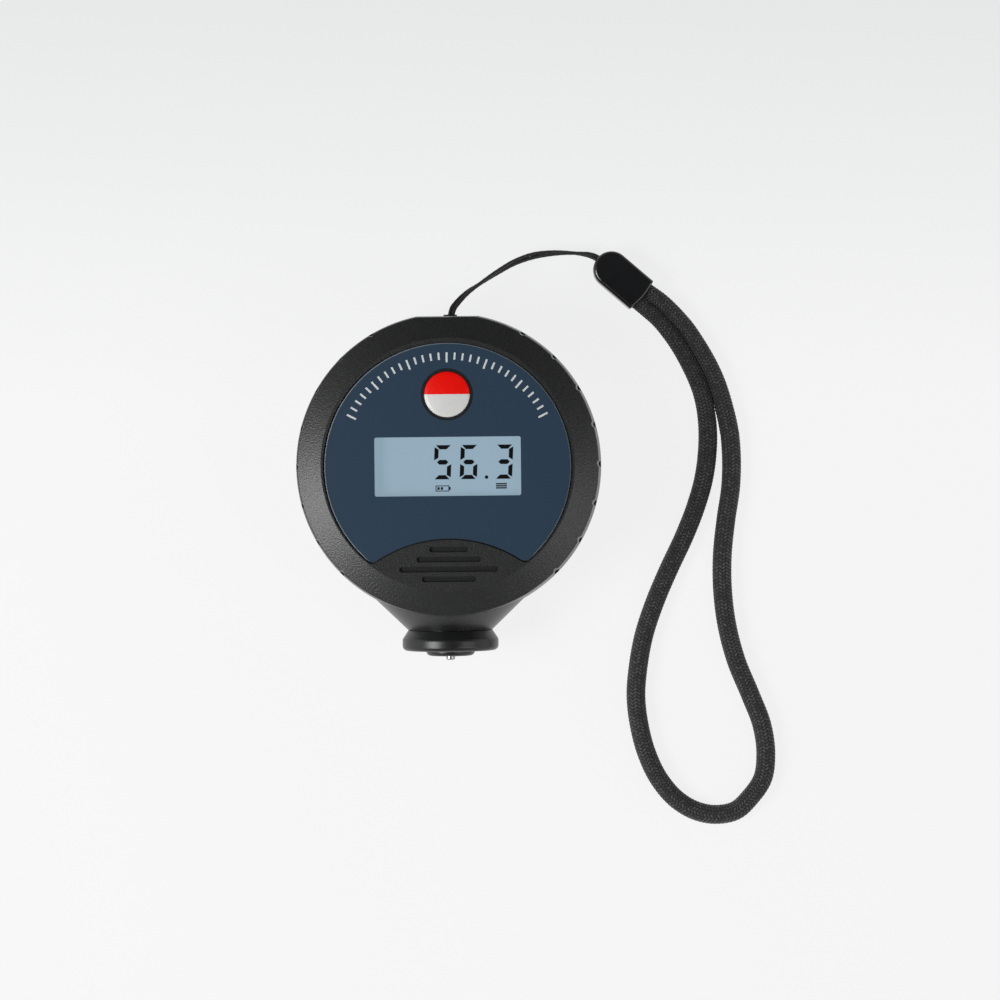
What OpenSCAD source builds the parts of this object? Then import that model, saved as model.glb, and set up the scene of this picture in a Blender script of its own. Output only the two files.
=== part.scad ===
// Handheld coating thickness gauge, lying on its back with the face up.
// X runs to the right of the face, Y towards the strap and Z out of the face.
// The origin is where the axis of the round case meets the back.

/* [Case] */
// Diameter of the round case at the parting line
body_d = 68; // [66:0.5:74]
// Thickness of the case from back to face
body_t = 30; // [29.5:0.5:34]
// Wall of both case halves
wall = 2; // [1.7:0.1:2.3]
// Draft of the side wall in degrees
side_draft = 4; // [1:0.5:5]
// Depth of the strap flat cut from the circle
flat_cut = 0.7; // [0.4:0.1:1.2]
// Radius of the back edge
back_edge_r = 1.5; // [0.8:0.1:1.8]
// Radius of the bezel's outer edge
rim_edge_r = 0.5; // [0.3:0.1:0.8]
// Rise of the sloping bezel
bezel_rise = 2; // [1.4:0.1:2.4]
// Gap that shows as the seam between the halves
seam_gap = 0.15; // [0.1:0.05:0.3]
// Height of the lip in the lap joint
lip_h = 1.2; // [0.8:0.1:1.6]
// Thickness of the lip in the lap joint
lip_t = 0.8; // [0.6:0.1:0.9]
// Distance of the case screws from the side wall's outer face
screw_inset = 4.8; // [4.6:0.1:5.2]
// Diameter of a case screw's thread
screw_d = 2.2; // [2:0.1:2.4]
// Length of a case screw below its head
screw_len = 14; // [12:0.5:16]
// Wall of the screw bosses
boss_wall = 0.7; // [0.6:0.1:0.9]

/* [Grip flutes] */
// Radius of the cutter that leaves a flute
flute_r = 0.8; // [0.6:0.1:1]
// Depth of a flute
flute_depth = 0.4; // [0.2:0.05:0.5]
// Angle between flutes
flute_step = 15; // [10:1:20]
// Angle of the first flute from the strap
flute_first = 30; // [25:1:45]
// Angle of the last flute from the strap
flute_last = 135; // [110:1:138]
// Plain band left between the flutes and the seam
flute_band = 2.5; // [1.5:0.1:4]

/* [Face] */
// Diameter of the recess that holds the faceplate
face_d = 54.6; // [53:0.2:56]
// Flat land between the recess and the bezel
bezel_land = 0.5; // [0.4:0.05:0.8]
// Distance of the recess's middle below the case axis
face_drop = 0.35; // [0:0.05:0.4]
// Gap all round the faceplate
face_gap = 0.3; // [0.2:0.05:0.4]
// Thickness of the faceplate
face_t = 0.5; // [0.3:0.1:0.6]
// Depth of the recess
recess_depth = 0.8; // [0.6:0.1:1]
// Front wall under the recess
front_wall = 2; // [1.7:0.1:2.3]
// Radius of the arc that cuts the lower edge of the recess
thumb_arc_r = 28.2; // [24:0.2:34]
// Distance of that arc's crown below the case axis
thumb_arc_drop = 16.4; // [15:0.1:17]
// Corner radius of the recess
face_corner_r = 1.6; // [1:0.1:2.4]
// Lengths of the thumb grooves, from the top down
groove_lengths = [8.5, 14.1, 21.6, 11.9]; // [6:0.1:24]
// Width of a thumb groove
groove_w = 1.2; // [0.8:0.1:1.5]
// Depth of a thumb groove
groove_depth = 0.7; // [0.4:0.1:1]
// Distance of the first groove below the case axis
groove_drop = 18.5; // [18.3:0.1:19]
// Distance between grooves
groove_pitch = 2.17; // [1.9:0.01:2.3]

/* [Display] */
// Width of the window in the faceplate
window_w = 32; // [28:0.5:33]
// Height of the window in the faceplate
window_h = 12.9; // [11:0.1:13.5]
// Distance of the window's middle below the case axis
window_drop = 0.35; // [0:0.05:1]
// Corner radius of the window
window_r = 0.45; // [0.3:0.05:0.8]
// Step of the clear window under the faceplate
window_step = 0.8; // [0.6:0.1:1]
// Thickness of the clear window's lower step
window_t = 1.2; // [1:0.1:1.4]
// Thickness of the display glass
lcd_t = 2; // [1.6:0.1:2.2]
// Rim of the display glass round the clear window
lcd_rim = 1.2; // [1:0.1:1.6]
// Height of the display's carrier frame
frame_h = 2.5; // [2.4:0.1:3]
// Rim of the carrier frame round the glass
frame_rim = 1; // [0.8:0.1:1.2]
// Width of a contact strip
zebra_w = 1.5; // [1.2:0.1:1.8]

/* [Circuit board] */
// Thickness of the board
board_t = 1.6; // [1:0.2:1.6]
// Distance of the board's straight edge below the case axis
board_drop = 17; // [16:0.5:17.5]
// Distance of the upper posts above the case axis
post_up = 12.5; // [12:0.1:13.5]
// Distance of the lower posts below the case axis
post_down = 13.5; // [13:0.1:14]
// Diameter of a board post
post_d = 4; // [3.6:0.1:4.4]
// Diameter of a board screw's thread
board_screw_d = 1.6; // [1.4:0.1:1.8]
// Room for the probe's lead between the barrel and its socket
lead_room = 4.15; // [3.5:0.05:5]
// Side of the square main chip
chip_side = 10; // [7:0.5:12]
// Thickness of the main chip
chip_t = 1.4; // [1:0.1:1.6]

/* [Key] */
// Diameter of the key's cap
button_d = 10; // [8:0.1:10.4]
// Distance of the key above the case axis
button_up = 15.4; // [15:0.1:15.8]
// Height of the cap above the faceplate
button_rise = 0.9; // [0.7:0.1:1.2]
// Radius of the cap's domed top
button_dome_r = 26; // [20:1:60]
// Travel of the key
button_travel = 0.6; // [0.3:0.05:0.7]
// Running clearance round the cap
button_gap = 0.1; // [0.05:0.01:0.1]
// Width of the ring round the cap
button_ring_w = 0.45; // [0.3:0.05:0.6]
// Rim of the flange behind the front wall
button_flange = 1.2; // [1:0.1:1.4]
// Thickness of the flange
button_flange_t = 1; // [0.8:0.1:1]
// Side of the square switch
switch_side = 6; // [5:0.1:6.4]
// Height of the switch's housing
switch_h = 2.4; // [2:0.1:2.4]
// Diameter of the switch's plunger
plunger_d = 3; // [2:0.1:3.5]

/* [Probe] */
// Distance of the neck's end beyond the case circle
neck_len = 2.55; // [2:0.05:5]
// Diameter of the neck's end
neck_end_d = 18.8; // [18:0.1:20]
// Half angle of the conical neck in degrees
neck_angle = 46; // [40:1:50]
// Diameter of the foot ring
ring_d = 21.4; // [20.5:0.1:24]
// Height of the foot ring
ring_h = 4.5; // [4:0.1:6]
// Height of the flare at the top of the foot ring
ring_flare = 2.3; // [1.5:0.1:2.5]
// Corner radius of the foot ring
ring_corner_r = 1.1; // [0.6:0.1:1.2]
// Thickness of the foot ring's inner lip
ring_floor = 1.6; // [1.2:0.1:2]
// Outer diameter of the barrel
barrel_d = 14; // [13.6:0.1:14.4]
// Length of the barrel
barrel_len = 18.5; // [18:0.1:20]
// Wall of the barrel
barrel_wall = 1; // [0.8:0.1:1.1]
// Thickness of the barrel's end wall
barrel_end_t = 1.5; // [1:0.1:2]
// Rim of the flange that locks the barrel in the neck
barrel_flange = 2; // [1.2:0.1:2.2]
// Thickness of that flange
barrel_flange_t = 1.5; // [1:0.1:1.8]
// Rim of the sleeve's guide behind the foot ring's lip
sleeve_step = 0.55; // [0.4:0.05:0.7]
// Running clearance of the sleeve
sleeve_gap = 0.05; // [0.02:0.01:0.1]
// Wall of the sleeve
sleeve_wall = 0.8; // [0.6:0.1:1]
// Wall of the sleeve's nose
nose_wall = 1.2; // [1:0.1:1.6]
// Length of the sleeve's guide inside the barrel
guide_len = 8.5; // [8:0.1:9]
// Reach of the nose beyond the foot ring
nose_out = 1.2; // [0.8:0.1:1.6]
// Corner radius of the nose
nose_corner_r = 1; // [0.5:0.1:1.2]
// Diameter of the hard tip
tip_d = 2; // [1.6:0.1:2.6]
// Reach of the tip beyond the nose
tip_out = 0.95; // [0.5:0.05:1.2]
// Diameter of the magnetic core
core_d = 3.2; // [2.8:0.1:3.6]
// Wire of the return spring
spring_wire = 0.6; // [0.5:0.05:0.8]
// Turns of the return spring
spring_turns = 5; // [4:1:6]
// Diameter of the probe's lead
lead_d = 1.4; // [1:0.1:1.6]

/* [Battery] */
// Diameter of a cell
cell_d = 10.5; // [10:0.1:10.6]
// Length of a cell with its terminal
cell_len = 44.5; // [42:0.1:44.6]
// Room round each cell
cell_gap = 0.3; // [0.2:0.05:0.4]
// Distance of the bay's middle above the case axis
bay_up = 4.1; // [3.8:0.1:4.4]
// Wall of the battery bay
bay_wall = 1.8; // [1.6:0.1:1.9]
// Thickness of the bay's roof
bay_roof = 1.2; // [0.8:0.1:1.4]
// Length of a compressed contact spring
contact_spring_len = 3.5; // [3:0.1:4]
// Thickness of a contact plate
plate_t = 0.4; // [0.3:0.05:0.5]
// Thickness of the battery lid
lid_t = 1.5; // [1.3:0.1:1.5]
// Gap all round the battery lid
lid_gap = 0.15; // [0.1:0.05:0.2]
// Ledge under the battery lid
lid_ledge = 1.2; // [1:0.1:1.3]
// Corner radius of the battery lid
lid_r = 2.5; // [1.5:0.1:4]
// Width of a hook on the battery lid
hook_w = 5; // [4:0.5:8]

/* [Strap] */
// Diameter of the thin cord
cord_d = 0.85; // [0.7:0.05:0.95]
// Diameter of the braid
braid_d = 4.4; // [4:0.1:4.4]
// Diameter of the braid where it is crimped
braid_end_d = 3.4; // [3:0.1:3.4]
// Length over which the braid swells from crimped to full size
braid_swell = 50; // [45:1:60]
// Width of the ferrule
ferrule_w = 8.2; // [8.1:0.1:9]
// Thickness of the ferrule
ferrule_t = 5.6; // [5.2:0.1:6]
// Length of the ferrule
ferrule_len = 13; // [11:0.1:15]
// Corner radius of the ferrule's section
ferrule_r = 0.9; // [0.6:0.1:2.2]
// Bow of the ferrule's mouth
ferrule_bow = 0.6; // [0.3:0.1:1]
// Width of the strap eye
eye_w = 2.5; // [2.5:0.1:3.6]
// Height of the strap eye
eye_h = 1.6; // [1.4:0.1:2]
// Height of the strap eye above the back
eye_z = 10; // [8:0.1:11]
// Place of the strap eye beside the middle
eye_x = 0.6; // [0:0.1:1]
// Wall of the collar round the strap eye
eye_rim = 0.3; // [0.3:0.05:0.8]
// Reach of that collar beyond the flat
eye_lift = 0.9; // [0.3:0.1:1.2]
// Diameter of the post that holds the cord
strap_post_d = 2.4; // [2:0.1:2.6]

/* [Hidden] */
$fn = 96;

// Allowances shared by all fits
fit_gap = 0.05;
play = 0.1;
merge = 0.2;
cut = 1;
far = 200;

// Case levels and radii
body_r = body_d / 2;
parting_z = body_t / 2;
flat_y = body_r - flat_cut;
rim_z = body_t - bezel_rise;
face_r = face_d / 2;
bezel_r = face_r + bezel_land;
recess_z = body_t - recess_depth;
roof_z = recess_z - front_wall;
face_top = recess_z + face_t;
seam_top = parting_z + seam_gap / 2;
seam_bottom = parting_z - seam_gap / 2;
lip_setback = 0.1;

function side_r(z) = body_r - tan(side_draft) * abs(z - parting_z);
function flat_at(z, inset) = flat_y - inset - tan(side_draft) * abs(z - parting_z);
function unit(v) = v / norm(v);
function arc(center, r, from, to, steps) =
    [for (i = [0:steps]) let (a = from + (to - from) * i / steps) center + r * [cos(a), sin(a)]];
function arc_between(center, r, from, to, steps) =
    [for (i = [1:steps - 1]) let (a = from + (to - from) * i / steps) center + r * [cos(a), sin(a)]];

// Edge rounds of the case profile
edge_steps = 6;
face_steps = 96;
thumb_steps = 24;
back_c = [side_r(back_edge_r) - back_edge_r / cos(side_draft), back_edge_r];
rim_p = [side_r(rim_z), rim_z];
bezel_angle = atan2(rim_p.x - bezel_r, bezel_rise);
rim_c = rim_p - rim_edge_r * (arc([0, 0], 1, side_draft, side_draft, 1)[0]
    + arc([0, 0], 1, bezel_angle, bezel_angle, 1)[0]) / (1 + cos(bezel_angle - side_draft));

// Case screws, as angles from the strap on a circle
screw_angles = [45, -45, 138, -138];
screw_r = screw_d / 2;
screw_circle = body_r - screw_inset;
screw_head_r = 2;
screw_head_h = 1.5;
screw_socket_r = 0.65;
screw_socket_h = 0.7;
well_r = screw_head_r + cell_gap;
well_depth = 4.2;
boss_r = well_r + boss_wall;
boss_top = roof_z + merge;

// Display stack, from the front wall down
lens_w = window_w + 2 * window_step;
lens_h = window_h + 2 * window_step;
lens_z = recess_z - window_t;
sight_w = window_w + window_step;
sight_h = window_h + window_step;
lcd_w = lens_w + 2 * lcd_rim;
lcd_h = lens_h + 2 * lcd_rim;
lcd_top = roof_z - play;
lcd_z = lcd_top - lcd_t;
lcd_ledge = 1.4;
frame_w = lcd_w + 2 * frame_rim;
frame_d = lcd_h + 2 * frame_rim;
zebra_y = lcd_h / 2 - zebra_w;
backlight_h = 2 * (zebra_y - zebra_w);
board_top = lcd_z - frame_h;
board_z = board_top - board_t;
board_r = screw_circle - boss_r - 2 * play;
post_r = post_d / 2;
post_circle = board_r - post_r;
post_x_up = sqrt(pow(post_circle, 2) - pow(post_up, 2));
post_x_down = sqrt(pow(post_circle, 2) - pow(post_down, 2)) - post_r / 2;
board_posts = [
    [post_x_up, post_up], [-post_x_up, post_up],
    [post_x_down, -post_down], [-post_x_down, -post_down]
];
board_screw_r = board_screw_d / 2;
board_screw_head_r = 1.6;
board_screw_head_h = 1;
board_screw_bite = 3;
chip_at = [-9, -3];
socket_size = [6, 4, 3];

// Key stack
button_r = button_d / 2;
button_hole_r = button_r + button_gap;
button_ring_r = button_hole_r + button_ring_w;
button_top = face_top + button_rise;
button_edge_r = 0.35;
button_split_z = face_top - face_t;
button_flange_top = roof_z - play;
button_flange_z = button_flange_top - button_flange_t;
switch_top = board_top + switch_h;
plunger_r = plunger_d / 2;
plunger_top = switch_top + button_travel + 2 * play;
plunger_z = switch_top - switch_h / 2 + button_travel;
stem_r = plunger_r + 4 * play;
dome_z = button_top - button_dome_r;

// Probe stations, measured from the case axis towards the tip
neck_end = body_r + neck_len;
neck_end_r = neck_end_d / 2;
neck_root = body_r - 5;
neck_half_h = min(rim_z - parting_z, parting_z - back_edge_r);
ring_start = neck_end + play;
ring_r = ring_d / 2;
ring_end = ring_start + ring_h;
ring_ledge = ring_end - ring_floor;
nose_end = ring_end + nose_out;
tip_end = nose_end + tip_out;
barrel_r = barrel_d / 2;
barrel_bore_r = barrel_r - barrel_wall;
barrel_start = ring_ledge - barrel_len;
barrel_floor = barrel_start + barrel_end_t;
barrel_flange_r = barrel_r + barrel_flange;
barrel_flange_s = body_r - 5;
lead_hole_r = lead_d / 2 + 3 * play;
cradle_r = barrel_r + barrel_flange;
cradle_wall = 1.6;
cradle_start = barrel_flange_s - cradle_wall;
cradle_end = barrel_flange_s + barrel_flange_t + cradle_wall;
guide_r = barrel_bore_r - sleeve_gap;
sleeve_r = guide_r - sleeve_step;
lip_bore_r = sleeve_r + sleeve_gap;
guide_end = ring_ledge - fit_gap;
guide_start = guide_end - guide_len;
sleeve_bore_r = sleeve_r - sleeve_wall;
nose_inner = nose_end - nose_wall;
tip_r = tip_d / 2;
tip_head_t = 0.8;
tip_edge_r = 0.4;
core_r = core_d / 2;
core_end = nose_inner - tip_head_t;
cap_t = 1.6;
bobbin_start = guide_start + cap_t + play;
bobbin_tube_t = 0.5;
bobbin_tube_r = core_r + 2 * play + bobbin_tube_t;
bobbin_flange_t = 0.7;
bobbin_r = sleeve_bore_r - play;
winding_inset = 0.3;
winding_r = bobbin_r - winding_inset;
socket_front = min(board_drop - play, barrel_start - lead_room);
socket_y = socket_size.y / 2 - socket_front;
lead_bend_shares = [[0, 0], [0.22, 0.05], [0.49, 0.35], [0.67, 0.75], [0.89, 1]];
spring_r = (barrel_bore_r + sleeve_bore_r) / 2 - spring_wire;
wire_sides = 6;
turn_steps = 12;

// Battery bay
cell_r = cell_d / 2;
cell_pitch = cell_d + cell_gap;
rebate_z = lid_t + play;
cell_z = lid_t + cell_gap + cell_r;
bay_top = cell_z + cell_r + cell_gap;
bay_len = cell_len + contact_spring_len + 2 * plate_t + merge;
bay_w = cell_pitch + cell_d + 2 * cell_gap;
bay_low = bay_up - bay_w / 2;
bay_high = bay_up + bay_w / 2;
lid_w = bay_len + 2 * lid_ledge;
lid_h = bay_w + 2 * lid_ledge;
lid_low = bay_up - lid_h / 2;
hook_x = bay_len / 4;
hook_gap = 0.3;
hook_t = 1.2;
hook_reach = 1.5;
hook_z = wall + hook_gap;
hook_room = hook_z + hook_t + 3 * hook_gap;
tongue_w = 8;
tongue_t = 0.7;
tongue_h = 2;
tongue_gap = 0.5;
terminal_r = 2.75;
terminal_len = 0.8;
plate_rim = 0.3;
plate_z = rebate_z + hook_gap;
dimple_r = 2;
tab_w = 3;
tab_shift = 3.2;
contact_spring_r = [3.4, 2.2];
contact_spring_turns = 3;
contact_wire = 0.6;

// Strap: the crimp and the routes, as points on the surface the gauge lies on
ferrule_mouth = [43.8, 38.2];
ferrule_turn = -41;
ferrule_half = ferrule_w / 2;
cord_spacing = cord_d + fit_gap;
cord_hole_r = cord_spacing / 2 + cord_d / 2 + play;
strap_post_y = 27.6;
cord_route = [
    [0.8, 33.3, 10], [1.2, 35.1, 10], [2.6, 37, 9.6], [4.3, 38.7, 9], [7.5, 41, 8],
    [11.4, 43.6, 6.6], [15.2, 45.8, 5.3], [19.4, 47.3, 4.3], [23.5, 47.9, 3.6],
    [27, 48, 3.1], [29.9, 47.8, 2.9], [32.4, 47.4, 2.8], [34, 46.7, 2.8], [35.6, 45.3, 2.8]
];
cord_turns = [30, 32, 36, 40, 45, 50, 56, 62, 68, 74, 82, 100, 130, 160];
cord_bight = [[0.5, 31.3], [1.4, 29.4], [1.8, 27.6], [1.3, 26.3]];
cord_bight_end = [0, 25.8];
braid_route = [
    [40.3, 38.8, 2.8], [42.6, 36.9, 2.8], [45.1, 34.8, 2.6], [47.7, 32.5, 2.4], [50.4, 29.1, 2.3],
    [52.6, 25.7, 2.2], [54.5, 22.2, 2.2], [56.8, 16.9, 2.2], [58.1, 10.5, 2.2], [58.5, 4, 2.2],
    [57.6, -3.3, 2.2], [55.6, -10.1, 2.2], [53, -16.5, 2.2], [49.3, -24.2, 2.2], [45.9, -32.1, 2.2],
    [43.6, -39, 2.2], [42.3, -45.7, 2.2], [41.7, -52.5, 2.2], [42.4, -59.3, 2.2], [44.2, -66.1, 2.2],
    [46.8, -71.5, 2.2], [51.2, -76.5, 2.2], [55, -78.7, 2.2], [59.6, -79.6, 2.2], [63.9, -78.8, 2.2],
    [67.5, -75.6, 2.2], [70.2, -71.6, 2.2], [71, -66, 2.2], [70.2, -59.5, 2.2], [67.7, -52.7, 2.2],
    [64.5, -44.7, 2.2], [62.6, -37.3, 2.2], [61.6, -29, 2.2], [61.6, -21, 2.2], [62.5, -12.9, 2.2],
    [63.7, -5, 2.2], [63.9, 2, 2.2], [63.2, 9.5, 2.2], [61.9, 15.4, 2.2], [59.3, 22.2, 2.2],
    [56.5, 27.3, 2.2], [54.2, 30.8, 2.3], [51.6, 33.8, 2.4], [48.5, 36.9, 2.6], [44.9, 39.6, 2.8],
    [42.7, 41.5, 2.8]
];
cord_sides = 8;
braid_sides = 10;
up = [0, 0, 1];

// Tubes swept along a route: one ring of points at each route point
function tangent(p, i) = unit(p[min(i + 1, len(p) - 1)] - p[max(i - 1, 0)]);
function ring(p, i, r, sides) =
    let (t = tangent(p, i), s = unit(cross(t, up)), m = cross(s, t))
    [for (k = [0:sides - 1]) p[i] + r * (cos(360 * k / sides) * s + sin(360 * k / sides) * m)];
function run(p, i) = i == 0 ? 0 : run(p, i - 1) + norm(p[i] - p[i - 1]);
function swell(p, i) = let (s = run(p, i), all = run(p, len(p) - 1)) min(1, min(s, all - s) / braid_swell);

module tube(p, radii, sides) {
    last = len(p) - 1;
    points = [for (i = [0:last]) each ring(p, i, radii[i], sides)];
    skin = [
        for (i = [0:last - 1], k = [0:sides - 1])
            let (a = i * sides, b = a + sides, n = (k + 1) % sides)
            each [[a + k, a + n, b + n], [a + k, b + n, b + k]]
    ];
    start_cap = [[for (k = [0:sides - 1]) sides - 1 - k]];
    end_cap = [[for (k = [0:sides - 1]) last * sides + k]];
    polyhedron(points, concat(start_cap, skin, end_cap), convexity = 10);
}

// A coil that starts at the origin and climbs Z, flat ended at the wire's own radius
module coil(r_low, r_high, wire, length, turns) {
    steps = turns * turn_steps;
    p = [
        for (i = [0:steps])
            let (f = i / steps, a = 360 * turns * f, r = r_low + (r_high - r_low) * f)
            [r * cos(a), r * sin(a), wire / 2 + fit_gap + (length - wire - 2 * fit_gap) * f]
    ];
    tube(p, [for (q = p) wire / 2], wire_sides);
}

// Flat shapes
module rounded_rect(w, h, r) {
    square([w - 2 * r, h], center = true);
    square([w, h - 2 * r], center = true);
    for (x = [-1, 1], y = [-1, 1]) translate([x * (w / 2 - r), y * (h / 2 - r)]) circle(r = r);
}

module slot_outline(length, width) {
    square([length - width, width], center = true);
    for (x = [-1, 1]) translate([x * (length - width) / 2, 0]) circle(d = width);
}

module plan(inset) {
    intersection() {
        circle(r = body_r - inset);
        translate([-body_d, -body_d]) square([2 * body_d, body_d + flat_y - inset]);
    }
}

// The recess outline about the disc's own middle: a disc cut by the thumb arc, with its two corners rounded
module face_outline(inset) {
    disc_r = face_r - inset;
    arc_r = thumb_arc_r + inset;
    arc_c = [0, face_drop - thumb_arc_drop - thumb_arc_r];
    near = disc_r - face_corner_r;
    reach = arc_r + face_corner_r;
    corner_y = (arc_c.y * arc_c.y - reach * reach + near * near) / (2 * arc_c.y);
    corner = [sqrt(near * near - corner_y * corner_y), corner_y];
    rise = atan2(corner.y, corner.x);
    lean = atan2(corner.y - arc_c.y, corner.x);
    translate([0, -face_drop]) polygon(concat(
        arc([0, 0], disc_r, rise, 180 - rise, face_steps),
        arc_between([-corner.x, corner.y], face_corner_r, 180 - rise, 360 - lean, edge_steps),
        arc(arc_c, arc_r, 180 - lean, lean, thumb_steps),
        arc_between(corner, face_corner_r, 180 + lean, 360 + rise, edge_steps)
    ));
}

// Placing
module along_probe() {
    translate([0, 0, parting_z]) rotate([90, 0, 0]) children();
}

module at_screws() {
    for (a = screw_angles) rotate([0, 0, -a]) translate([0, screw_circle, 0]) children();
}

module at_posts() {
    for (p = board_posts) translate(p) children();
}

module at_display(z) {
    translate([0, -window_drop, z]) children();
}

module at_button(z) {
    translate([0, button_up, z]) children();
}

module rod(r, from, to) {
    translate([0, 0, from]) cylinder(r = r, h = to - from);
}

module above(z) {
    translate([-far / 2, -far / 2, z]) cube(far);
}

module below(z) {
    translate([-far / 2, -far / 2, z - far]) cube(far);
}

// Case volumes
module flat_side(inset) {
    rotate([90, 0, 90]) linear_extrude(far, center = true) polygon([
        [-far, -cut], [flat_at(-cut, inset), -cut], [flat_at(parting_z, inset), parting_z],
        [flat_at(body_t + cut, inset), body_t + cut], [-far, body_t + cut]
    ]);
}

module neck_cone(inset) {
    shrink = inset / cos(neck_angle);
    root_r = neck_end_r + (neck_end - neck_root) * tan(neck_angle) - shrink;
    half_h = neck_half_h - inset;
    intersection() {
        along_probe() rotate_extrude() polygon([
            [0, neck_root], [root_r, neck_root], [neck_end_r - shrink, neck_end], [0, neck_end]
        ]);
        translate([-far / 2, -far, parting_z - half_h]) cube([far, far, 2 * half_h]);
    }
}

module round_outside() {
    intersection() {
        rotate_extrude() polygon(concat(
            [[0, 0]],
            arc(back_c, back_edge_r, -90, -side_draft, edge_steps),
            [[body_r, parting_z]],
            arc(rim_c, rim_edge_r, side_draft, bezel_angle, edge_steps),
            [[bezel_r, body_t], [0, body_t]]
        ));
        flat_side(0);
    }
}

module case_inside() {
    intersection() {
        rotate_extrude() polygon([
            [0, wall], [side_r(wall) - wall, wall], [body_r - wall, parting_z],
            [side_r(rim_z - wall) - wall, rim_z - wall], [bezel_r - wall, roof_z], [0, roof_z]
        ]);
        flat_side(wall);
    }
    neck_cone(wall);
}

module half_space(front) {
    if (front) above(seam_top);
    else below(seam_bottom);
}

// One case half with its half of the neck and of the cradle for the barrel
module case_half(front) {
    difference() {
        union() {
            intersection() {
                round_outside();
                half_space(front);
            }
            intersection() {
                neck_cone(0);
                half_space(front);
            }
        }
        case_inside();
    }
    intersection() {
        barrel_cradle();
        half_space(front);
    }
}

// The lip ring of the lap joint, left open at the neck
module lip_ring(inner, outer, from, to) {
    difference() {
        translate([0, 0, from]) linear_extrude(to - from) difference() {
            plan(outer);
            plan(inner);
        }
        translate([-neck_half_h - wall, -body_d, from - cut])
            cube([2 * (neck_half_h + wall), body_r, to - from + 2 * cut]);
    }
}

module barrel_cradle() {
    along_probe() {
        rod(cradle_r, cradle_start, neck_end - cradle_wall);
        rod(barrel_flange_r + cradle_wall, cradle_start, cradle_end);
    }
}

module barrel_seat() {
    along_probe() {
        rod(barrel_r + play, cradle_start - cut, neck_end + cut);
        rod(barrel_flange_r + play, barrel_flange_s - play, barrel_flange_s + barrel_flange_t + play);
    }
}

module grip_flutes() {
    for (side = [-1, 1], a = [flute_first:flute_step:flute_last])
        rotate([0, 0, side * a])
            translate([0, body_r + flute_r - flute_depth, parting_z])
                rotate([side_draft, 0, 0])
                    rod(flute_r, flute_band, parting_z + cut);
}

module thumb_grooves() {
    for (i = [0:len(groove_lengths) - 1])
        translate([0, -groove_drop - i * groove_pitch, body_t - groove_depth])
            linear_extrude(groove_depth + cut) slot_outline(groove_lengths[i], groove_w);
}

module front_shell() {
    color("#1f2021") difference() {
        union() {
            case_half(true);
            lip_ring(wall - lip_setback, wall - lip_setback - lip_t, parting_z - lip_h, seam_top + merge);
            at_screws() rod(boss_r, parting_z, boss_top);
            at_posts() rod(post_r, board_top, boss_top);
            at_button(0) rod(button_ring_r, roof_z, face_top);
        }
        translate([0, 0, recess_z]) linear_extrude(cut + recess_depth) difference() {
            face_outline(0);
            translate([0, button_up]) circle(r = button_ring_r);
        }
        at_button(0) rod(button_ring_r + merge, face_top, body_t + cut);
        at_button(0) rod(button_hole_r, roof_z - cut, body_t);
        at_display(lens_z) linear_extrude(window_t + cut) rounded_rect(lens_w, lens_h, window_step);
        at_display(roof_z - cut) linear_extrude(front_wall) rounded_rect(sight_w, sight_h, window_r);
        thumb_grooves();
        grip_flutes();
        barrel_seat();
        at_screws() rod(screw_r + fit_gap, parting_z - cut, parting_z + screw_len - well_depth / 2);
        at_posts() rod(board_screw_r + fit_gap, board_top - cut, board_top + board_screw_bite + play);
    }
}

module battery_bay_walls() {
    translate([0, bay_up, wall - merge]) linear_extrude(bay_top + bay_roof - wall + merge)
        square([bay_len + 2 * bay_wall, bay_w + 2 * bay_wall], center = true);
}

module battery_bay_room() {
    translate([-bay_len / 2, bay_low, -cut]) cube([bay_len, bay_w, bay_top + cut]);
    translate([0, bay_up, -cut]) linear_extrude(rebate_z + cut)
        rounded_rect(lid_w + 2 * lid_gap, lid_h + 2 * lid_gap, lid_r + lid_gap);
    for (x = [-hook_x, hook_x]) translate([x - hook_w / 2 - hook_gap, 0, 0]) {
        translate([0, lid_low - lid_gap, wall / 2])
            cube([hook_w + 2 * hook_gap, bay_low - lid_low + lid_gap + cut, hook_room - wall / 2]);
        translate([0, bay_low - bay_wall - merge, wall])
            cube([hook_w + 2 * hook_gap, bay_wall + cut, hook_room - wall]);
    }
    for (side = [0, 1])
        translate([bay_len / 2 - plate_t - play, tab_y(side) - tab_w / 2 - play, bay_top - cut])
            cube([plate_t + 2 * play, tab_w + 2 * play, bay_roof + 2 * cut]);
}

module eye_outline(rim) {
    slot_outline(eye_w + 2 * rim, eye_h + 2 * rim);
}

module rear_shell() {
    color("#1c1d1e") difference() {
        union() {
            case_half(false);
            translate([eye_x, flat_at(eye_z, 0) + eye_lift, eye_z]) rotate([90, 0, 0])
                linear_extrude(eye_lift + wall / 2) eye_outline(eye_rim);
            intersection() {
                battery_bay_walls();
                round_outside();
            }
            at_screws() rod(boss_r, wall / 2, parting_z);
            translate([eye_x, strap_post_y, 0]) rod(strap_post_d / 2, wall - merge, eye_z + eye_h);
        }
        lip_ring(wall + merge, wall - lip_setback - lip_t - play, parting_z - lip_h - play, parting_z + cut);
        battery_bay_room();
        barrel_seat();
        at_screws() rod(well_r, -cut, well_depth);
        at_screws() rod(screw_r + play, well_depth - cut, parting_z + cut);
        translate([eye_x, flat_y + eye_lift + cut, eye_z]) rotate([90, 0, 0])
            linear_extrude(eye_lift + wall + 2 * cut + flat_cut) eye_outline(0);
    }
}

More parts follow.
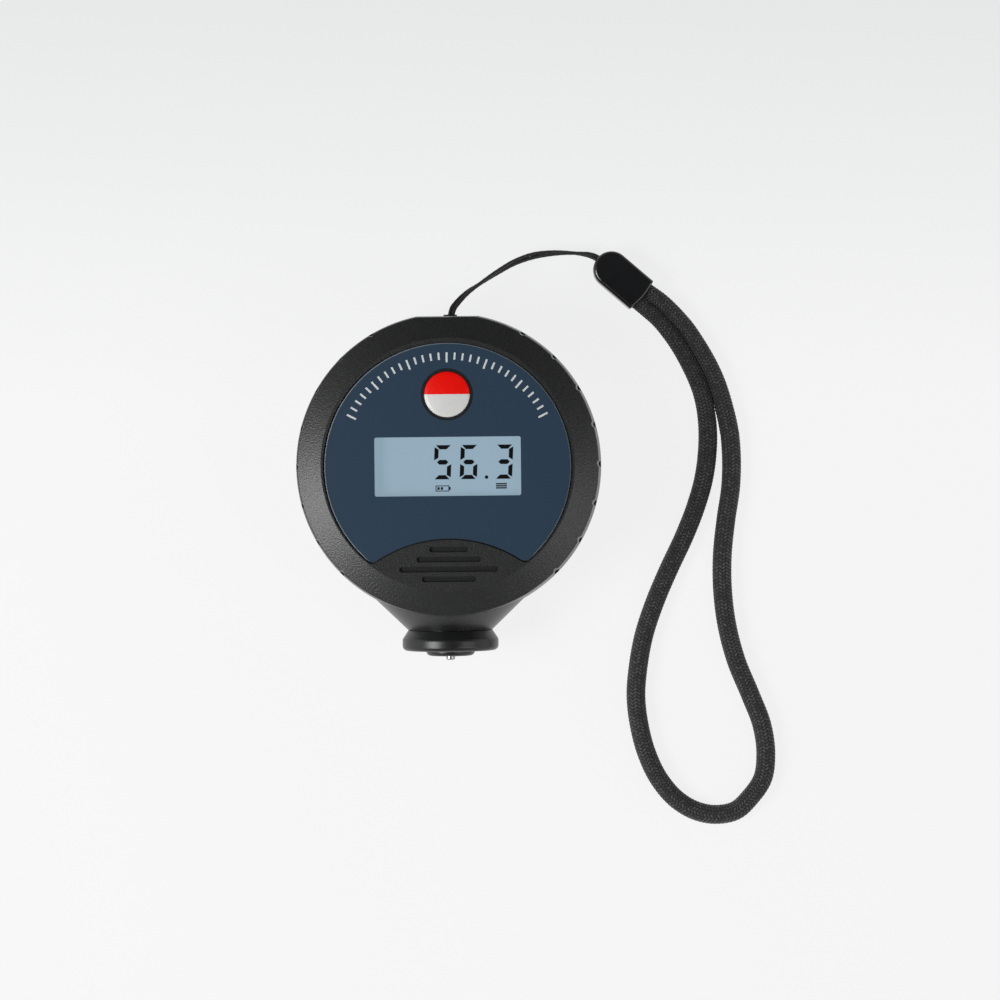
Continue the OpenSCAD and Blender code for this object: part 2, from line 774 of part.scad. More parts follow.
module case_screws() {
    head_z = well_depth - screw_head_h;
    color("#8c8f92") at_screws() difference() {
        union() {
            rod(screw_head_r, head_z, well_depth);
            rod(screw_r, well_depth - fit_gap, well_depth + screw_len);
        }
        rod(screw_socket_r, head_z - cut, head_z + screw_socket_h, $fn = 6);
    }
}

module faceplate() {
    color("#2d3e52") translate([0, 0, recess_z]) linear_extrude(face_t) difference() {
        face_outline(face_gap);
        translate([0, -window_drop]) rounded_rect(window_w, window_h, window_r);
        translate([0, button_up]) circle(r = button_ring_r + fit_gap);
    }
}

module display_window() {
    color("#c9d6dd", 0.5) {
        at_display(lens_z) linear_extrude(window_t)
            rounded_rect(lens_w - 2 * play, lens_h - 2 * play, window_step - play);
        at_display(recess_z - fit_gap) linear_extrude(face_t)
            rounded_rect(window_w - 2 * fit_gap, window_h - 2 * fit_gap, window_r);
    }
}

module lcd_panel() {
    color("#97adbb") at_display(lcd_z) {
        translate([-lcd_w / 2, -lcd_h / 2, 0]) cube([lcd_w, lcd_h, lcd_t / 2]);
        translate([-lcd_w / 2, -lcd_h / 2 + lcd_ledge, lcd_t / 2])
            cube([lcd_w, lcd_h - 2 * lcd_ledge, lcd_t / 2]);
    }
}

module lcd_frame() {
    color("#e4e4e0") at_display(board_top) difference() {
        linear_extrude(frame_h + lcd_t / 2) rounded_rect(frame_w, frame_d, frame_rim);
        translate([0, 0, -cut]) linear_extrude(frame_h + 2 * cut) {
            square([window_w + 2 * play, backlight_h + 2 * play], center = true);
            for (side = [-1, 1]) translate([0, side * zebra_y])
                square([window_w + 2 * play, zebra_w + 2 * fit_gap], center = true);
        }
        translate([0, 0, frame_h]) linear_extrude(lcd_t)
            square([lcd_w + 2 * play, lcd_h + 2 * play], center = true);
    }
}

module lcd_backlight() {
    color("#f2f4f2") at_display(board_top)
        translate([-window_w / 2, -backlight_h / 2, 0]) cube([window_w, backlight_h, frame_h - play]);
}

module zebra_strips() {
    color("#3a3d40") for (side = [-1, 1]) at_display(board_top)
        translate([-window_w / 2, side * zebra_y - zebra_w / 2, 0]) cube([window_w, zebra_w, frame_h]);
}

module circuit_board() {
    color("#1d5c3a") translate([0, 0, board_z]) linear_extrude(board_t) difference() {
        intersection() {
            circle(r = board_r);
            translate([-board_r, -board_drop]) square([2 * board_r, 2 * board_r]);
        }
        at_posts() circle(r = board_screw_r + play);
    }
}

module board_screws() {
    head_z = board_z - board_screw_head_h;
    color("#a8abad") at_posts() difference() {
        union() {
            rod(board_screw_head_r, head_z, board_z);
            rod(board_screw_r, board_z - fit_gap, board_top + board_screw_bite);
        }
        rod(board_screw_r / 2, head_z - cut, head_z + board_screw_head_h / 2, $fn = 6);
    }
}

module main_chip() {
    color("#18191a") translate([chip_at.x, chip_at.y, board_z - chip_t]) difference() {
        translate([-chip_side / 2, -chip_side / 2, 0]) cube([chip_side, chip_side, chip_t]);
        translate([chip_side / 2 - cut, chip_side / 2 - cut, -cut]) cylinder(r = cut / 2, h = cut + play);
    }
}

module probe_socket() {
    color("#e8e4d4") translate([0, socket_y, board_z - socket_size.z]) difference() {
        translate([-socket_size.x / 2, -socket_size.y / 2, 0]) cube(socket_size);
        translate([0, -socket_size.y / 2 - cut, socket_size.z / 2]) rotate([-90, 0, 0])
            cylinder(r = lead_d / 2 + play, h = 2 * cut);
    }
}

module key_blank() {
    at_button(0) intersection() {
        rotate_extrude() polygon(concat(
            [[0, plunger_top], [stem_r, plunger_top], [stem_r, button_flange_z]],
            [[button_r + button_flange, button_flange_z], [button_r + button_flange, button_flange_top]],
            [[button_r, button_flange_top]],
            arc([button_r - button_edge_r, key_edge_z()], button_edge_r, 0, 70, edge_steps),
            [[0, button_top + cut]]
        ));
        translate([0, 0, dome_z]) sphere(r = button_dome_r);
    }
}

function key_edge_z() = dome_z + sqrt(pow(button_dome_r, 2) - pow(button_r, 2)) - button_edge_r;

module red_half_room() {
    at_button(button_split_z) translate([-far / 2, 0, 0]) cube([far, far / 2, far]);
}

module button_cap() {
    color("#cfd0ce") difference() {
        key_blank();
        red_half_room();
    }
}

module button_red_half() {
    color("#d81a10") intersection() {
        key_blank();
        red_half_room();
    }
}

module tact_switch() {
    color("#26282a") difference() {
        at_button(board_top) translate([-switch_side / 2, -switch_side / 2, 0])
            cube([switch_side, switch_side, switch_h]);
        at_button(0) rod(plunger_r + play, plunger_z - button_travel - play, switch_top + cut);
    }
}

module tact_plunger() {
    color("#111213") at_button(0) rod(plunger_r, plunger_z, plunger_top);
}

module probe_barrel() {
    color("#b9a26a") along_probe() difference() {
        union() {
            rod(barrel_r, barrel_start, ring_ledge);
            rod(barrel_flange_r, barrel_flange_s, barrel_flange_s + barrel_flange_t);
        }
        rod(barrel_bore_r, barrel_floor, ring_ledge + cut);
        rod(lead_hole_r, barrel_start - cut, barrel_floor + cut);
    }
}

module foot_ring() {
    corner = [ring_r - ring_corner_r, ring_end - ring_corner_r];
    shoulder = [ring_r - ring_corner_r, ring_start + ring_flare];
    color("#161718") along_probe() rotate_extrude() polygon(concat(
        [[barrel_r + fit_gap, ring_start], [neck_end_r, ring_start]],
        arc(shoulder, ring_corner_r, -45, 0, edge_steps),
        arc(corner, ring_corner_r, 0, 90, edge_steps),
        [[lip_bore_r, ring_end], [lip_bore_r, ring_ledge], [barrel_r + fit_gap, ring_ledge]]
    ));
}

module probe_sleeve() {
    corner = [sleeve_r - nose_corner_r, nose_end - nose_corner_r];
    color("#141516") along_probe() rotate_extrude() polygon(concat(
        [[sleeve_bore_r, guide_start], [guide_r, guide_start], [guide_r, guide_end], [sleeve_r, guide_end]],
        arc(corner, nose_corner_r, 0, 90, edge_steps),
        [[tip_r + fit_gap, nose_end], [tip_r + fit_gap, nose_inner], [sleeve_bore_r, nose_inner]]
    ));
}

module probe_tip() {
    corner = [tip_r - tip_edge_r, tip_end - tip_edge_r];
    color("#c4c7c9") along_probe() rotate_extrude() polygon(concat(
        [[0, core_end], [core_r, core_end], [core_r, nose_inner], [tip_r, nose_inner]],
        arc(corner, tip_edge_r, 0, 90, edge_steps),
        [[0, tip_end]]
    ));
}

module probe_core() {
    color("#7d8184") along_probe() rod(core_r, bobbin_start, core_end);
}

module coil_bobbin() {
    color("#3b3b38") along_probe() difference() {
        union() {
            rod(bobbin_tube_r, bobbin_start, nose_inner - play);
            rod(bobbin_r, bobbin_start, bobbin_start + bobbin_flange_t);
            rod(bobbin_r, nose_inner - play - bobbin_flange_t, nose_inner - play);
        }
        rod(core_r + play, bobbin_start - cut, nose_inner + cut);
    }
}

module coil_winding() {
    from = bobbin_start + bobbin_flange_t + fit_gap;
    to = nose_inner - play - bobbin_flange_t - fit_gap;
    color("#a8622c") along_probe() difference() {
        rod(winding_r, from, to);
        rod(bobbin_tube_r + fit_gap, from - cut, to + cut);
    }
}

module probe_cap() {
    color("#3f4144") along_probe() difference() {
        rod(sleeve_bore_r - fit_gap, guide_start, guide_start + cap_t);
        rod(lead_hole_r, guide_start - cut, guide_start + cap_t + cut);
    }
}

module probe_spring() {
    color("#b7babc") along_probe() translate([0, 0, barrel_floor])
        coil(spring_r, spring_r, spring_wire, guide_start - barrel_floor, spring_turns);
}

module probe_lead() {
    plug_y = socket_y - socket_size.y / 2 + cut;
    plug_z = board_z - socket_size.z / 2;
    rise = plug_z - parting_z;
    span = barrel_start - socket_front;
    p = concat(
        [for (station = [guide_start + cap_t, barrel_floor]) [0, -station, parting_z]],
        [for (bend = lead_bend_shares) [0, span * bend.x - barrel_start, parting_z + rise * bend.y]],
        [[0, plug_y, plug_z]]
    );
    color("#2b2c2e") tube(p, [for (q = p) lead_d / 2], cord_sides);
}

module lid_hook() {
    low = lid_low + lid_gap;
    rotate([90, 0, 90]) linear_extrude(hook_w, center = true) polygon([
        [bay_low, lid_t - play], [bay_low, hook_z + hook_t],
        [lid_low - hook_reach, hook_z + hook_t], [lid_low - hook_reach, hook_z],
        [low, hook_z], [low, lid_t - play]
    ]);
}

module battery_lid() {
    tongue_y = bay_high - tongue_gap - tongue_t;
    grip_y = bay_high - 2 * groove_pitch;
    color("#202122") difference() {
        union() {
            translate([0, bay_up, 0]) linear_extrude(lid_t) rounded_rect(lid_w, lid_h, lid_r);
            for (x = [-hook_x, hook_x]) translate([x, 0, 0]) lid_hook();
            translate([-tongue_w / 2, tongue_y, lid_t - play]) cube([tongue_w, tongue_t, tongue_h + play]);
        }
        for (i = [-1:1]) translate([0, grip_y + i * groove_pitch, -cut])
            linear_extrude(cut + lid_t / 3) slot_outline(groove_lengths[1], groove_w);
    }
}

function cell_y(side) = bay_up + (side - 0.5) * cell_pitch;
function tab_y(side) = cell_y(side) + (0.5 - side) * 2 * tab_shift;

// A cell along X, with its terminal towards +X on side 0 and towards -X on side 1
module cell(side) {
    turn = 180 * side;
    inner_end = bay_len / 2 - plate_t - contact_spring_len;
    translate([0, cell_y(side), cell_z]) rotate([0, 0, turn]) rotate([0, 90, 0]) {
        rod(cell_r, -inner_end, cell_len - terminal_len - inner_end);
        rod(terminal_r, cell_len - terminal_len - inner_end - fit_gap, cell_len - inner_end);
    }
}

module battery_cell_1() {
    color("#b08d4f") cell(0);
}

module battery_cell_2() {
    color("#b08d4f") cell(1);
}

module battery_springs() {
    color("#c0c3c5") for (side = [0, 1])
        translate([0, cell_y(side), cell_z]) rotate([0, 0, 180 * side])
            translate([-bay_len / 2 + plate_t, 0, 0]) rotate([0, 90, 0])
                coil(contact_spring_r[0], contact_spring_r[1], contact_wire,
                    contact_spring_len, contact_spring_turns);
}

module contact_plate(from, to) {
    translate([bay_len / 2 - plate_t, from, plate_z]) cube([plate_t, to - from, bay_top - play - plate_z]);
}

module contact_dimple(side) {
    translate([0, cell_y(side), cell_z]) rotate([0, 0, 180 * side])
        translate([bay_len / 2 - plate_t, 0, 0]) rotate([0, -90, 0])
            translate([0, 0, -plate_t / 2]) cylinder(r = dimple_r, h = plate_t / 2 + merge - fit_gap);
}

module battery_plates() {
    reach = cell_r - plate_rim;
    color("#c8cacb") {
        mirror([1, 0, 0]) contact_plate(cell_y(0) - reach, cell_y(1) + reach);
        contact_dimple(1);
        contact_dimple(0);
        for (side = [0, 1]) {
            contact_plate(cell_y(side) - reach, cell_y(side) + reach);
            translate([bay_len / 2 - plate_t, tab_y(side) - tab_w / 2, bay_top - cut])
                cube([plate_t, tab_w, board_z - bay_top + cut]);
        }
    }
}

// One strand of the thin cord from the eye to the ferrule, wound about the route
function strand(side) = [
    for (i = [0:len(cord_route) - 1])
        let (a = cord_turns[i], t = tangent(cord_route, i), n = unit(cross(t, up)))
        cord_route[i] + side * cord_spacing / 2 * (cos(a) * n + sin(a) * up)
];
function backwards(list) = [for (i = [len(list) - 1:-1:0]) list[i]];
function bight(side) = [for (p = cord_bight) [eye_x + side * p.x, p.y, eye_z]];

module strap_cord() {
    middle = [[eye_x + cord_bight_end.x, cord_bight_end.y, eye_z]];
    p = concat(backwards(strand(1)), bight(1), middle, backwards(bight(-1)), strand(-1));
    color("#1a1a1b") tube(p, [for (q = p) cord_d / 2], cord_sides);
}

module ferrule_section() {
    rounded_rect(ferrule_w, ferrule_t, ferrule_r);
}

module strap_ferrule() {
    mouth_gap = braid_end_d / 2 + merge;
    strand_half = norm(braid_route[1] - braid_route[len(braid_route) - 2]) / 2;
    pocket = norm(braid_route[1] - braid_route[0]) + play;
    bow_r = (pow(ferrule_half, 2) + pow(ferrule_bow, 2)) / (2 * ferrule_bow);
    straight = ferrule_len - ferrule_half;
    color("#17181a") translate([ferrule_mouth.x, ferrule_mouth.y, ferrule_t / 2])
        rotate([0, 0, ferrule_turn]) difference() {
            union() {
                intersection() {
                    translate([-straight, 0, 0]) rotate([90, 0, 90])
                        linear_extrude(straight + 2 * ferrule_bow) ferrule_section();
                    translate([ferrule_bow - bow_r, 0, -ferrule_t])
                        cylinder(r = bow_r, h = 2 * ferrule_t);
                }
                translate([-straight, 0, 0]) intersection() {
                    rotate_extrude() intersection() {
                        ferrule_section();
                        translate([0, -ferrule_t]) square([ferrule_w, 2 * ferrule_t]);
                    }
                    translate([-ferrule_w, -ferrule_w, -ferrule_w])
                        cube([ferrule_w + merge, 2 * ferrule_w, 2 * ferrule_w]);
                }
            }
            translate([-pocket, 0, 0]) rotate([90, 0, 90]) linear_extrude(pocket + ferrule_len)
                slot_outline(2 * (strand_half + mouth_gap), 2 * mouth_gap);
            translate([-ferrule_len - cut, 0, 0]) rotate([0, 90, 0])
                cylinder(r = cord_hole_r + play, h = cut + 3 * cord_d);
        }
}

module strap_braid() {
    p = braid_route;
    radii = [
        for (i = [0:len(p) - 1])
            let (f = swell(p, i)) (braid_end_d + (braid_d - braid_end_d) * f) / 2
    ];
    color("#26272a") tube(p, radii, braid_sides);
}

front_shell();
rear_shell();
case_screws();
faceplate();
display_window();
lcd_panel();
lcd_frame();
lcd_backlight();
zebra_strips();
circuit_board();
board_screws();
main_chip();
probe_socket();
button_cap();
button_red_half();
tact_switch();
tact_plunger();
probe_barrel();
foot_ring();
probe_sleeve();
probe_tip();
probe_core();
coil_bobbin();
coil_winding();
probe_cap();
probe_spring();
probe_lead();
battery_lid();
battery_cell_1();
battery_cell_2();
battery_springs();
battery_plates();
strap_cord();
strap_ferrule();
strap_braid();
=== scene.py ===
import math

import bpy
import numpy as np
from mathutils import Matrix, Vector


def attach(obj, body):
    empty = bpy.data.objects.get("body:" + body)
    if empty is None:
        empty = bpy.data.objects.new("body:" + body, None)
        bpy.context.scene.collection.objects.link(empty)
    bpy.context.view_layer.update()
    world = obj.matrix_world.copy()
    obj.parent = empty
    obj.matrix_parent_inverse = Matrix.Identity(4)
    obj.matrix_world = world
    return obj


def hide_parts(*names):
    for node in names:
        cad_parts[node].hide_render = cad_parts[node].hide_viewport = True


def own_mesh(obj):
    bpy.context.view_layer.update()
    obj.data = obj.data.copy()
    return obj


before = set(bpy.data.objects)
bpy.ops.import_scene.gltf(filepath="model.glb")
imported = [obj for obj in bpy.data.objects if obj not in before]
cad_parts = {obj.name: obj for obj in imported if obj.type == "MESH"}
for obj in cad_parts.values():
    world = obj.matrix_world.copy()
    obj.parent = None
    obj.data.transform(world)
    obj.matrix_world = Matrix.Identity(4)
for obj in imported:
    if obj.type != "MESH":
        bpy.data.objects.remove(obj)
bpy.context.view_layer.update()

# Coating thickness gauge lying on its back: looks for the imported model.
# Sizes are in millimetres and turned to metres where a mesh is made.
scene = bpy.context.scene
MM = 0.001


# Camera: straight down, turned a little, at the picture's framing
CAMERA_AT = (11.35, -7.81, 765.0)
CAMERA_ROLL = -0.6
VIEW_HALF = 111.45
VIEW_DISTANCE = 750.0

camera_data = bpy.data.cameras.new("camera")
camera_data.sensor_fit = "HORIZONTAL"
camera_data.angle = 2 * math.atan(VIEW_HALF / VIEW_DISTANCE)
camera_data.clip_start = 0.01
camera = bpy.data.objects.new("camera", camera_data)
camera.location = Vector(CAMERA_AT) * MM
camera.rotation_euler = (0, 0, math.radians(CAMERA_ROLL))
scene.collection.objects.link(camera)
scene.camera = camera


# Nodes and colours
def linear(hex_colour):
    """A colour written as sRGB hex, as the linear RGBA that the sockets take."""
    parts = [int(hex_colour[i:i + 2], 16) / 255 for i in (1, 3, 5)]
    return tuple(c / 12.92 if c <= 0.04045 else ((c + 0.055) / 1.055) ** 2.4 for c in parts) + (1.0,)


def add(tree, kind, values=None, links=None, **settings):
    """Adds a node, sets its properties and its sockets' values, and links sockets to it."""
    node = tree.nodes.new(kind)
    for key, value in settings.items():
        setattr(node, key, value)
    for key, value in (values or {}).items():
        node.inputs[key].default_value = value
    for key, socket in (links or {}).items():
        tree.links.new(socket, node.inputs[key])
    return node


def new_material(name, values):
    """A material with one Principled shader, its coordinates and the given socket values."""
    made = bpy.data.materials.new(name)
    made.use_nodes = True
    tree = made.node_tree
    shader = tree.nodes["Principled BSDF"]
    for key, value in values.items():
        shader.inputs[key].default_value = value
    return made, tree, shader, add(tree, "ShaderNodeTexCoord").outputs


def per_mm(size):
    """Texture scale that gives a pattern of that size in millimetres on Object coordinates."""
    return 1 / (size * MM)


# A wave texture has 20 radians to each unit of its scale
WAVE_RADIANS = 20.0


def per_wave(size):
    """Wave texture scale that gives bands of that size, in the units of its coordinates."""
    return 2 * math.pi / (WAVE_RADIANS * size)


# A blend between two colours has its factor on socket 0 and its colours on 6 and 7
BLEND = {"kind": "ShaderNodeMix", "data_type": "RGBA"}


# The real relief of the finishes below is mostly too fine to show, so it is drawn coarser
def mottled(name, dark, light, spread, rough, grain, height, values):
    """A plain finish: two tones in patches, uneven gloss and a relief of grains, in millimetres."""
    made, tree, shader, place = new_material(name, values)
    cloud = add(tree, "ShaderNodeTexNoise", {"Scale": per_mm(spread), "Detail": 4.0},
                {"Vector": place["Object"]})
    tone = add(tree, values={6: linear(dark), 7: linear(light)}, links={0: cloud.outputs["Fac"]}, **BLEND)
    tree.links.new(tone.outputs[2], shader.inputs["Base Color"])
    gloss = add(tree, "ShaderNodeMapRange", {"To Min": rough[0], "To Max": rough[1]},
                {"Value": cloud.outputs["Fac"]})
    tree.links.new(gloss.outputs["Result"], shader.inputs["Roughness"])
    fine = add(tree, "ShaderNodeTexNoise", {"Scale": per_mm(grain), "Detail": 2.0},
               {"Vector": place["Object"]})
    bump = add(tree, "ShaderNodeBump", {"Strength": 1.0, "Distance": height * MM},
               {"Height": fine.outputs["Fac"]})
    tree.links.new(bump.outputs["Normal"], shader.inputs["Normal"])
    return made


# Routes of the strap, the same points as in the solid model
CORD_D = 0.84
CORD_SPACING = 0.81
CORD_EYE = (0.6, 10.0)
CORD_ROUTE = [
    (0.8, 33.3, 10), (1.2, 35.1, 10), (2.6, 37, 9.6), (4.3, 38.7, 9), (7.5, 41, 8), (11.4, 43.6, 6.6),
    (15.2, 45.8, 5.3), (19.4, 47.3, 4.3), (23.5, 47.9, 3.6), (27, 48, 3.1), (29.9, 47.8, 2.9),
    (32.4, 47.4, 2.8), (34, 46.7, 2.8), (35.6, 45.3, 2.8),
]
CORD_TURNS = [20, 23, 35, 55, 90, 121, 143, 183, 224, 254, 274, 310, 330, 345]
CORD_BIGHT = [(0.5, 31.3), (1.4, 29.4), (1.8, 27.6), (1.3, 26.3)]
CORD_BIGHT_END = (0.0, 25.8)
BRAID_D = 4.4
BRAID_END_D = 3.5
BRAID_SWELL = 40.0
BRAID_MOUTH = (43.8, 38.2, 2.8)
BRAID_ROUTE = [
    (40.3, 38.8, 2.8), (42.6, 36.9, 2.8), (45.1, 34.8, 2.6), (47.7, 32.5, 2.4), (50.4, 29.1, 2.3),
    (52.6, 25.7, 2.2), (54.5, 22.2, 2.2), (56.8, 16.9, 2.2), (58.1, 10.5, 2.2), (58.5, 4, 2.2),
    (57.6, -3.3, 2.2), (55.6, -10.1, 2.2), (53, -16.5, 2.2), (49.3, -24.2, 2.2), (45.9, -32.1, 2.2),
    (43.6, -39, 2.2), (42.3, -45.7, 2.2), (41.7, -52.5, 2.2), (42.4, -59.3, 2.2), (44.2, -66.1, 2.2),
    (46.8, -71.5, 2.2), (51.2, -76.5, 2.2), (55, -78.7, 2.2), (59.6, -79.6, 2.2), (63.9, -78.8, 2.2),
    (67.5, -75.6, 2.2), (70.2, -71.6, 2.2), (71, -66, 2.2), (70.2, -59.5, 2.2), (67.7, -52.7, 2.2),
    (64.5, -44.7, 2.2), (62.6, -37.3, 2.2), (61.6, -29, 2.2), (61.6, -21, 2.2), (62.5, -12.9, 2.2),
    (63.7, -5, 2.2), (63.9, 2, 2.2), (63.2, 9.5, 2.2), (61.9, 15.4, 2.2), (59.3, 22.2, 2.2),
    (56.5, 27.3, 2.2), (54.2, 30.8, 2.3), (51.6, 33.8, 2.4), (48.5, 36.9, 2.6), (44.9, 39.6, 2.8),
    (42.7, 41.5, 2.8),
]
UP = np.array((0.0, 0.0, 1.0))
FINE_STEP = 0.05
ROUTE_SPLIT = 24


def along(points):
    """Distance along a line of points, at each point."""
    steps = np.linalg.norm(np.diff(points, axis=0), axis=1)
    return np.concatenate([[0.0], np.cumsum(steps)])


def smooth_route(points):
    """A smooth line through the points, as closely spaced points an equal step apart."""
    knots = np.array(points, dtype=float)
    knot_at = along(knots)
    slope = np.gradient(knots, knot_at, axis=0)
    part = np.linspace(0, 1, ROUTE_SPLIT, endpoint=False)[:, None]
    line = []
    for i in range(len(knots) - 1):
        gap = knot_at[i + 1] - knot_at[i]
        line.append((2 * part**3 - 3 * part**2 + 1) * knots[i]
                    + (part**3 - 2 * part**2 + part) * gap * slope[i]
                    + (3 * part**2 - 2 * part**3) * knots[i + 1]
                    + (part**3 - part**2) * gap * slope[i + 1])
    dense = np.vstack(line + [knots[-1:]])
    run = along(dense)
    even = np.linspace(0, run[-1], int(run[-1] / FINE_STEP) + 1)
    return np.stack([np.interp(even, run, dense[:, k]) for k in range(3)], axis=1)


def tube_mesh(name, line, stations, angles, radii):
    """A closed tube about a line: one ring per row of stations, a radius for each of its points."""
    run = along(line)
    slope = np.gradient(line, run, axis=0)
    flat = np.clip(stations, 0, run[-1]).ravel()
    centre = np.stack([np.interp(flat, run, line[:, k]) for k in range(3)], axis=1)
    ahead = np.stack([np.interp(flat, run, slope[:, k]) for k in range(3)], axis=1)
    ahead /= np.linalg.norm(ahead, axis=1)[:, None]
    side = np.cross(ahead, UP)
    side /= np.linalg.norm(side, axis=1)[:, None]
    over = np.cross(side, ahead)
    turn = np.tile(angles, len(stations))[:, None]
    points = centre + radii.ravel()[:, None] * (np.cos(turn) * side + np.sin(turn) * over)
    rings, sides = stations.shape
    here = np.arange(sides)
    beside = (here + 1) % sides
    faces = []
    for i in range(rings - 1):
        low, high = i * sides, (i + 1) * sides
        faces += np.stack([low + here, low + beside, high + beside, high + here], axis=1).tolist()
    faces.append(here[::-1].tolist())
    faces.append(((rings - 1) * sides + here).tolist())
    mesh = bpy.data.meshes.new(name)
    mesh.from_pydata((points * MM).tolist(), [], faces)
    # One UV unit is one side across and one ring along
    unrolled = mesh.uv_layers.new(name="UVMap")
    corners = []
    for i in range(rings - 1):
        for j in range(sides):
            corners += [(j, i), (j + 1, i), (j + 1, i + 1), (j, i + 1)]
    corners += [(0, 0)] * (2 * sides)
    unrolled.data.foreach_set("uv", np.array(corners, dtype=float).ravel())
    mesh.polygons.foreach_set("use_smooth", [True] * len(mesh.polygons))
    made = bpy.data.objects.new(name, mesh)
    scene.collection.objects.link(made)
    return made


def scale_uv(piece, columns, rows):
    """Divides a tube's UV units by its sides to a column and its rings to a stitch."""
    corners = np.empty(2 * len(piece.data.loops))
    piece.data.uv_layers[0].data.foreach_get("uv", corners)
    corners = corners.reshape(-1, 2) / (columns, rows)
    piece.data.uv_layers[0].data.foreach_set("uv", corners.ravel())


# Copies of the solids' meshes
MERGE_GAP = 0.002
MERGE_ANGLE = 0.5
EASE_SEGMENTS = 3
EASE_ANGLE = 40.0
SMOOTH_ANGLE = 35.0


def begin():
    """Leaves edit mode with nothing selected."""
    if bpy.context.object and bpy.context.object.mode != "OBJECT":
        bpy.ops.object.mode_set(mode="OBJECT")
    bpy.ops.object.select_all(action="DESELECT")


def hold(piece):
    """Selects one piece alone and makes it the active one."""
    begin()
    piece.select_set(True)
    bpy.context.view_layer.objects.active = piece


def merged_copy(node, name):
    """A copy of a solid's mesh, with its triangles merged to whole faces."""
    made = bpy.data.objects.new(name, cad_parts[node].data.copy())
    scene.collection.objects.link(made)
    hold(made)
    bpy.ops.object.mode_set(mode="EDIT")
    bpy.ops.mesh.select_all(action="SELECT")
    bpy.ops.mesh.remove_doubles(threshold=MERGE_GAP * MM)
    bpy.ops.mesh.dissolve_limited(angle_limit=math.radians(MERGE_ANGLE))
    bpy.ops.object.mode_set(mode="OBJECT")
    return made


def bevel_where(piece, chosen, width, segments):
    """Bevels the edges of a piece whose two ends, in millimetres, are both chosen."""
    hold(piece)
    bpy.ops.object.mode_set(mode="EDIT")
    bpy.ops.mesh.select_mode(type="EDGE")
    bpy.ops.mesh.select_all(action="DESELECT")
    bpy.ops.object.mode_set(mode="OBJECT")
    for edge in piece.data.edges:
        edge.select = all(chosen(piece.data.vertices[i].co / MM) for i in edge.vertices)
    bpy.ops.object.mode_set(mode="EDIT")
    bpy.ops.mesh.bevel(offset=width * MM, segments=segments, affect="EDGES")
    bpy.ops.object.mode_set(mode="OBJECT")


def ease_edges(made, width):
    """Breaks the sharp edges of a piece with a fine bevel and keeps its flats flat to the eye."""
    hold(made)
    ease = made.modifiers.new("ease", "BEVEL")
    ease.width = width * MM
    ease.segments = EASE_SEGMENTS
    ease.limit_method = "ANGLE"
    ease.angle_limit = math.radians(EASE_ANGLE)
    bpy.ops.object.modifier_apply(modifier=ease.name)
    bpy.ops.object.shade_smooth_by_angle(angle=math.radians(SMOOTH_ANGLE))
    flats = made.modifiers.new("flats", "WEIGHTED_NORMAL")
    flats.keep_sharp = True
    bpy.ops.object.modifier_apply(modifier=flats.name)


# Braided wrist loop: plaited columns of slanted stitches, in relief
BRAID_COLUMNS = 16
STITCH_SIDES = 3
STITCH_RINGS = 4
STITCH_PITCH = 0.77
STITCH_SLANT = 0.7
BRAID_RELIEF = 0.08
STITCH_CROWN = np.array([0.0, 0.8, 1.0, 0.8])
CROWN_EDGE = 0.25

braid_line = smooth_route(BRAID_ROUTE)
braid_run = along(braid_line)
braid_length = braid_run[-1]

# The loop's two ends are pressed together over the first stretch out of the crimp
PRESSED = 34.0
PRESSED_FADE = 8.0
PRESSED_MOST = 0.34
PRESSED_INTO = 0.1
PRESSED_EVEN = 3.0
SEARCH_SKIP = 4
even_points = round(PRESSED_EVEN / FINE_STEP)
even_share = np.ones(2 * even_points + 1) / (2 * even_points + 1)
reach = int((PRESSED + PRESSED_FADE) / FINE_STEP)
first, second = braid_line[:reach].copy(), braid_line[::-1][:reach].copy()
for end, other, back in ((first, second, 1), (second, first, -1)):
    between = other[None, ::SEARCH_SKIP, :] - end[:, None, :]
    spread = np.linalg.norm(between, axis=2)
    near = np.argmin(spread, axis=1)
    apart = np.take_along_axis(spread, near[:, None], axis=1)[:, 0]
    toward = np.take_along_axis(between, near[:, None, None], axis=1)[:, 0, :] / apart[:, None]
    out_at = braid_run[:reach]
    end_d = BRAID_END_D + (BRAID_D - BRAID_END_D) * np.clip(out_at / BRAID_SWELL, 0, 1)
    push = np.clip((apart - end_d) / 2 + PRESSED_INTO, 0, PRESSED_MOST)
    push *= np.clip((PRESSED + PRESSED_FADE - out_at) / PRESSED_FADE, 0, 1)
    push = np.convolve(np.pad(push, even_points, mode="edge"), even_share, mode="valid")
    braid_line[::back][:reach] = end + push[:, None] * toward

# The tube of the braid, with its UV map counted in columns across and stitches along
braid_rings = int(braid_length / STITCH_PITCH) * STITCH_RINGS + 1
column_place = (np.arange(BRAID_COLUMNS * STITCH_SIDES) + 0.5) / STITCH_SIDES
zigzag = np.abs((column_place + 1) % 2 - 1)
ring_place = np.linspace(0, braid_length, braid_rings)
braid_stations = ring_place[:, None] + STITCH_SLANT * (zigzag - 0.5)[None, :]
from_end = np.minimum(braid_stations, braid_length - braid_stations)
braid_r = (BRAID_END_D + (BRAID_D - BRAID_END_D) * np.clip(from_end / BRAID_SWELL, 0, 1)) / 2
crown_along = STITCH_CROWN[np.arange(braid_rings) % STITCH_RINGS]
crown_across = CROWN_EDGE + (1 - CROWN_EDGE) * np.sin(np.pi * (column_place % 1))
braid_low = 1 - crown_along[:, None] * crown_across[None, :]
strap_loop = tube_mesh("strap_loop", braid_line, braid_stations,
                       2 * np.pi * column_place / BRAID_COLUMNS, braid_r * (1 - BRAID_RELIEF * braid_low))
scale_uv(strap_loop, STITCH_SIDES, STITCH_RINGS)

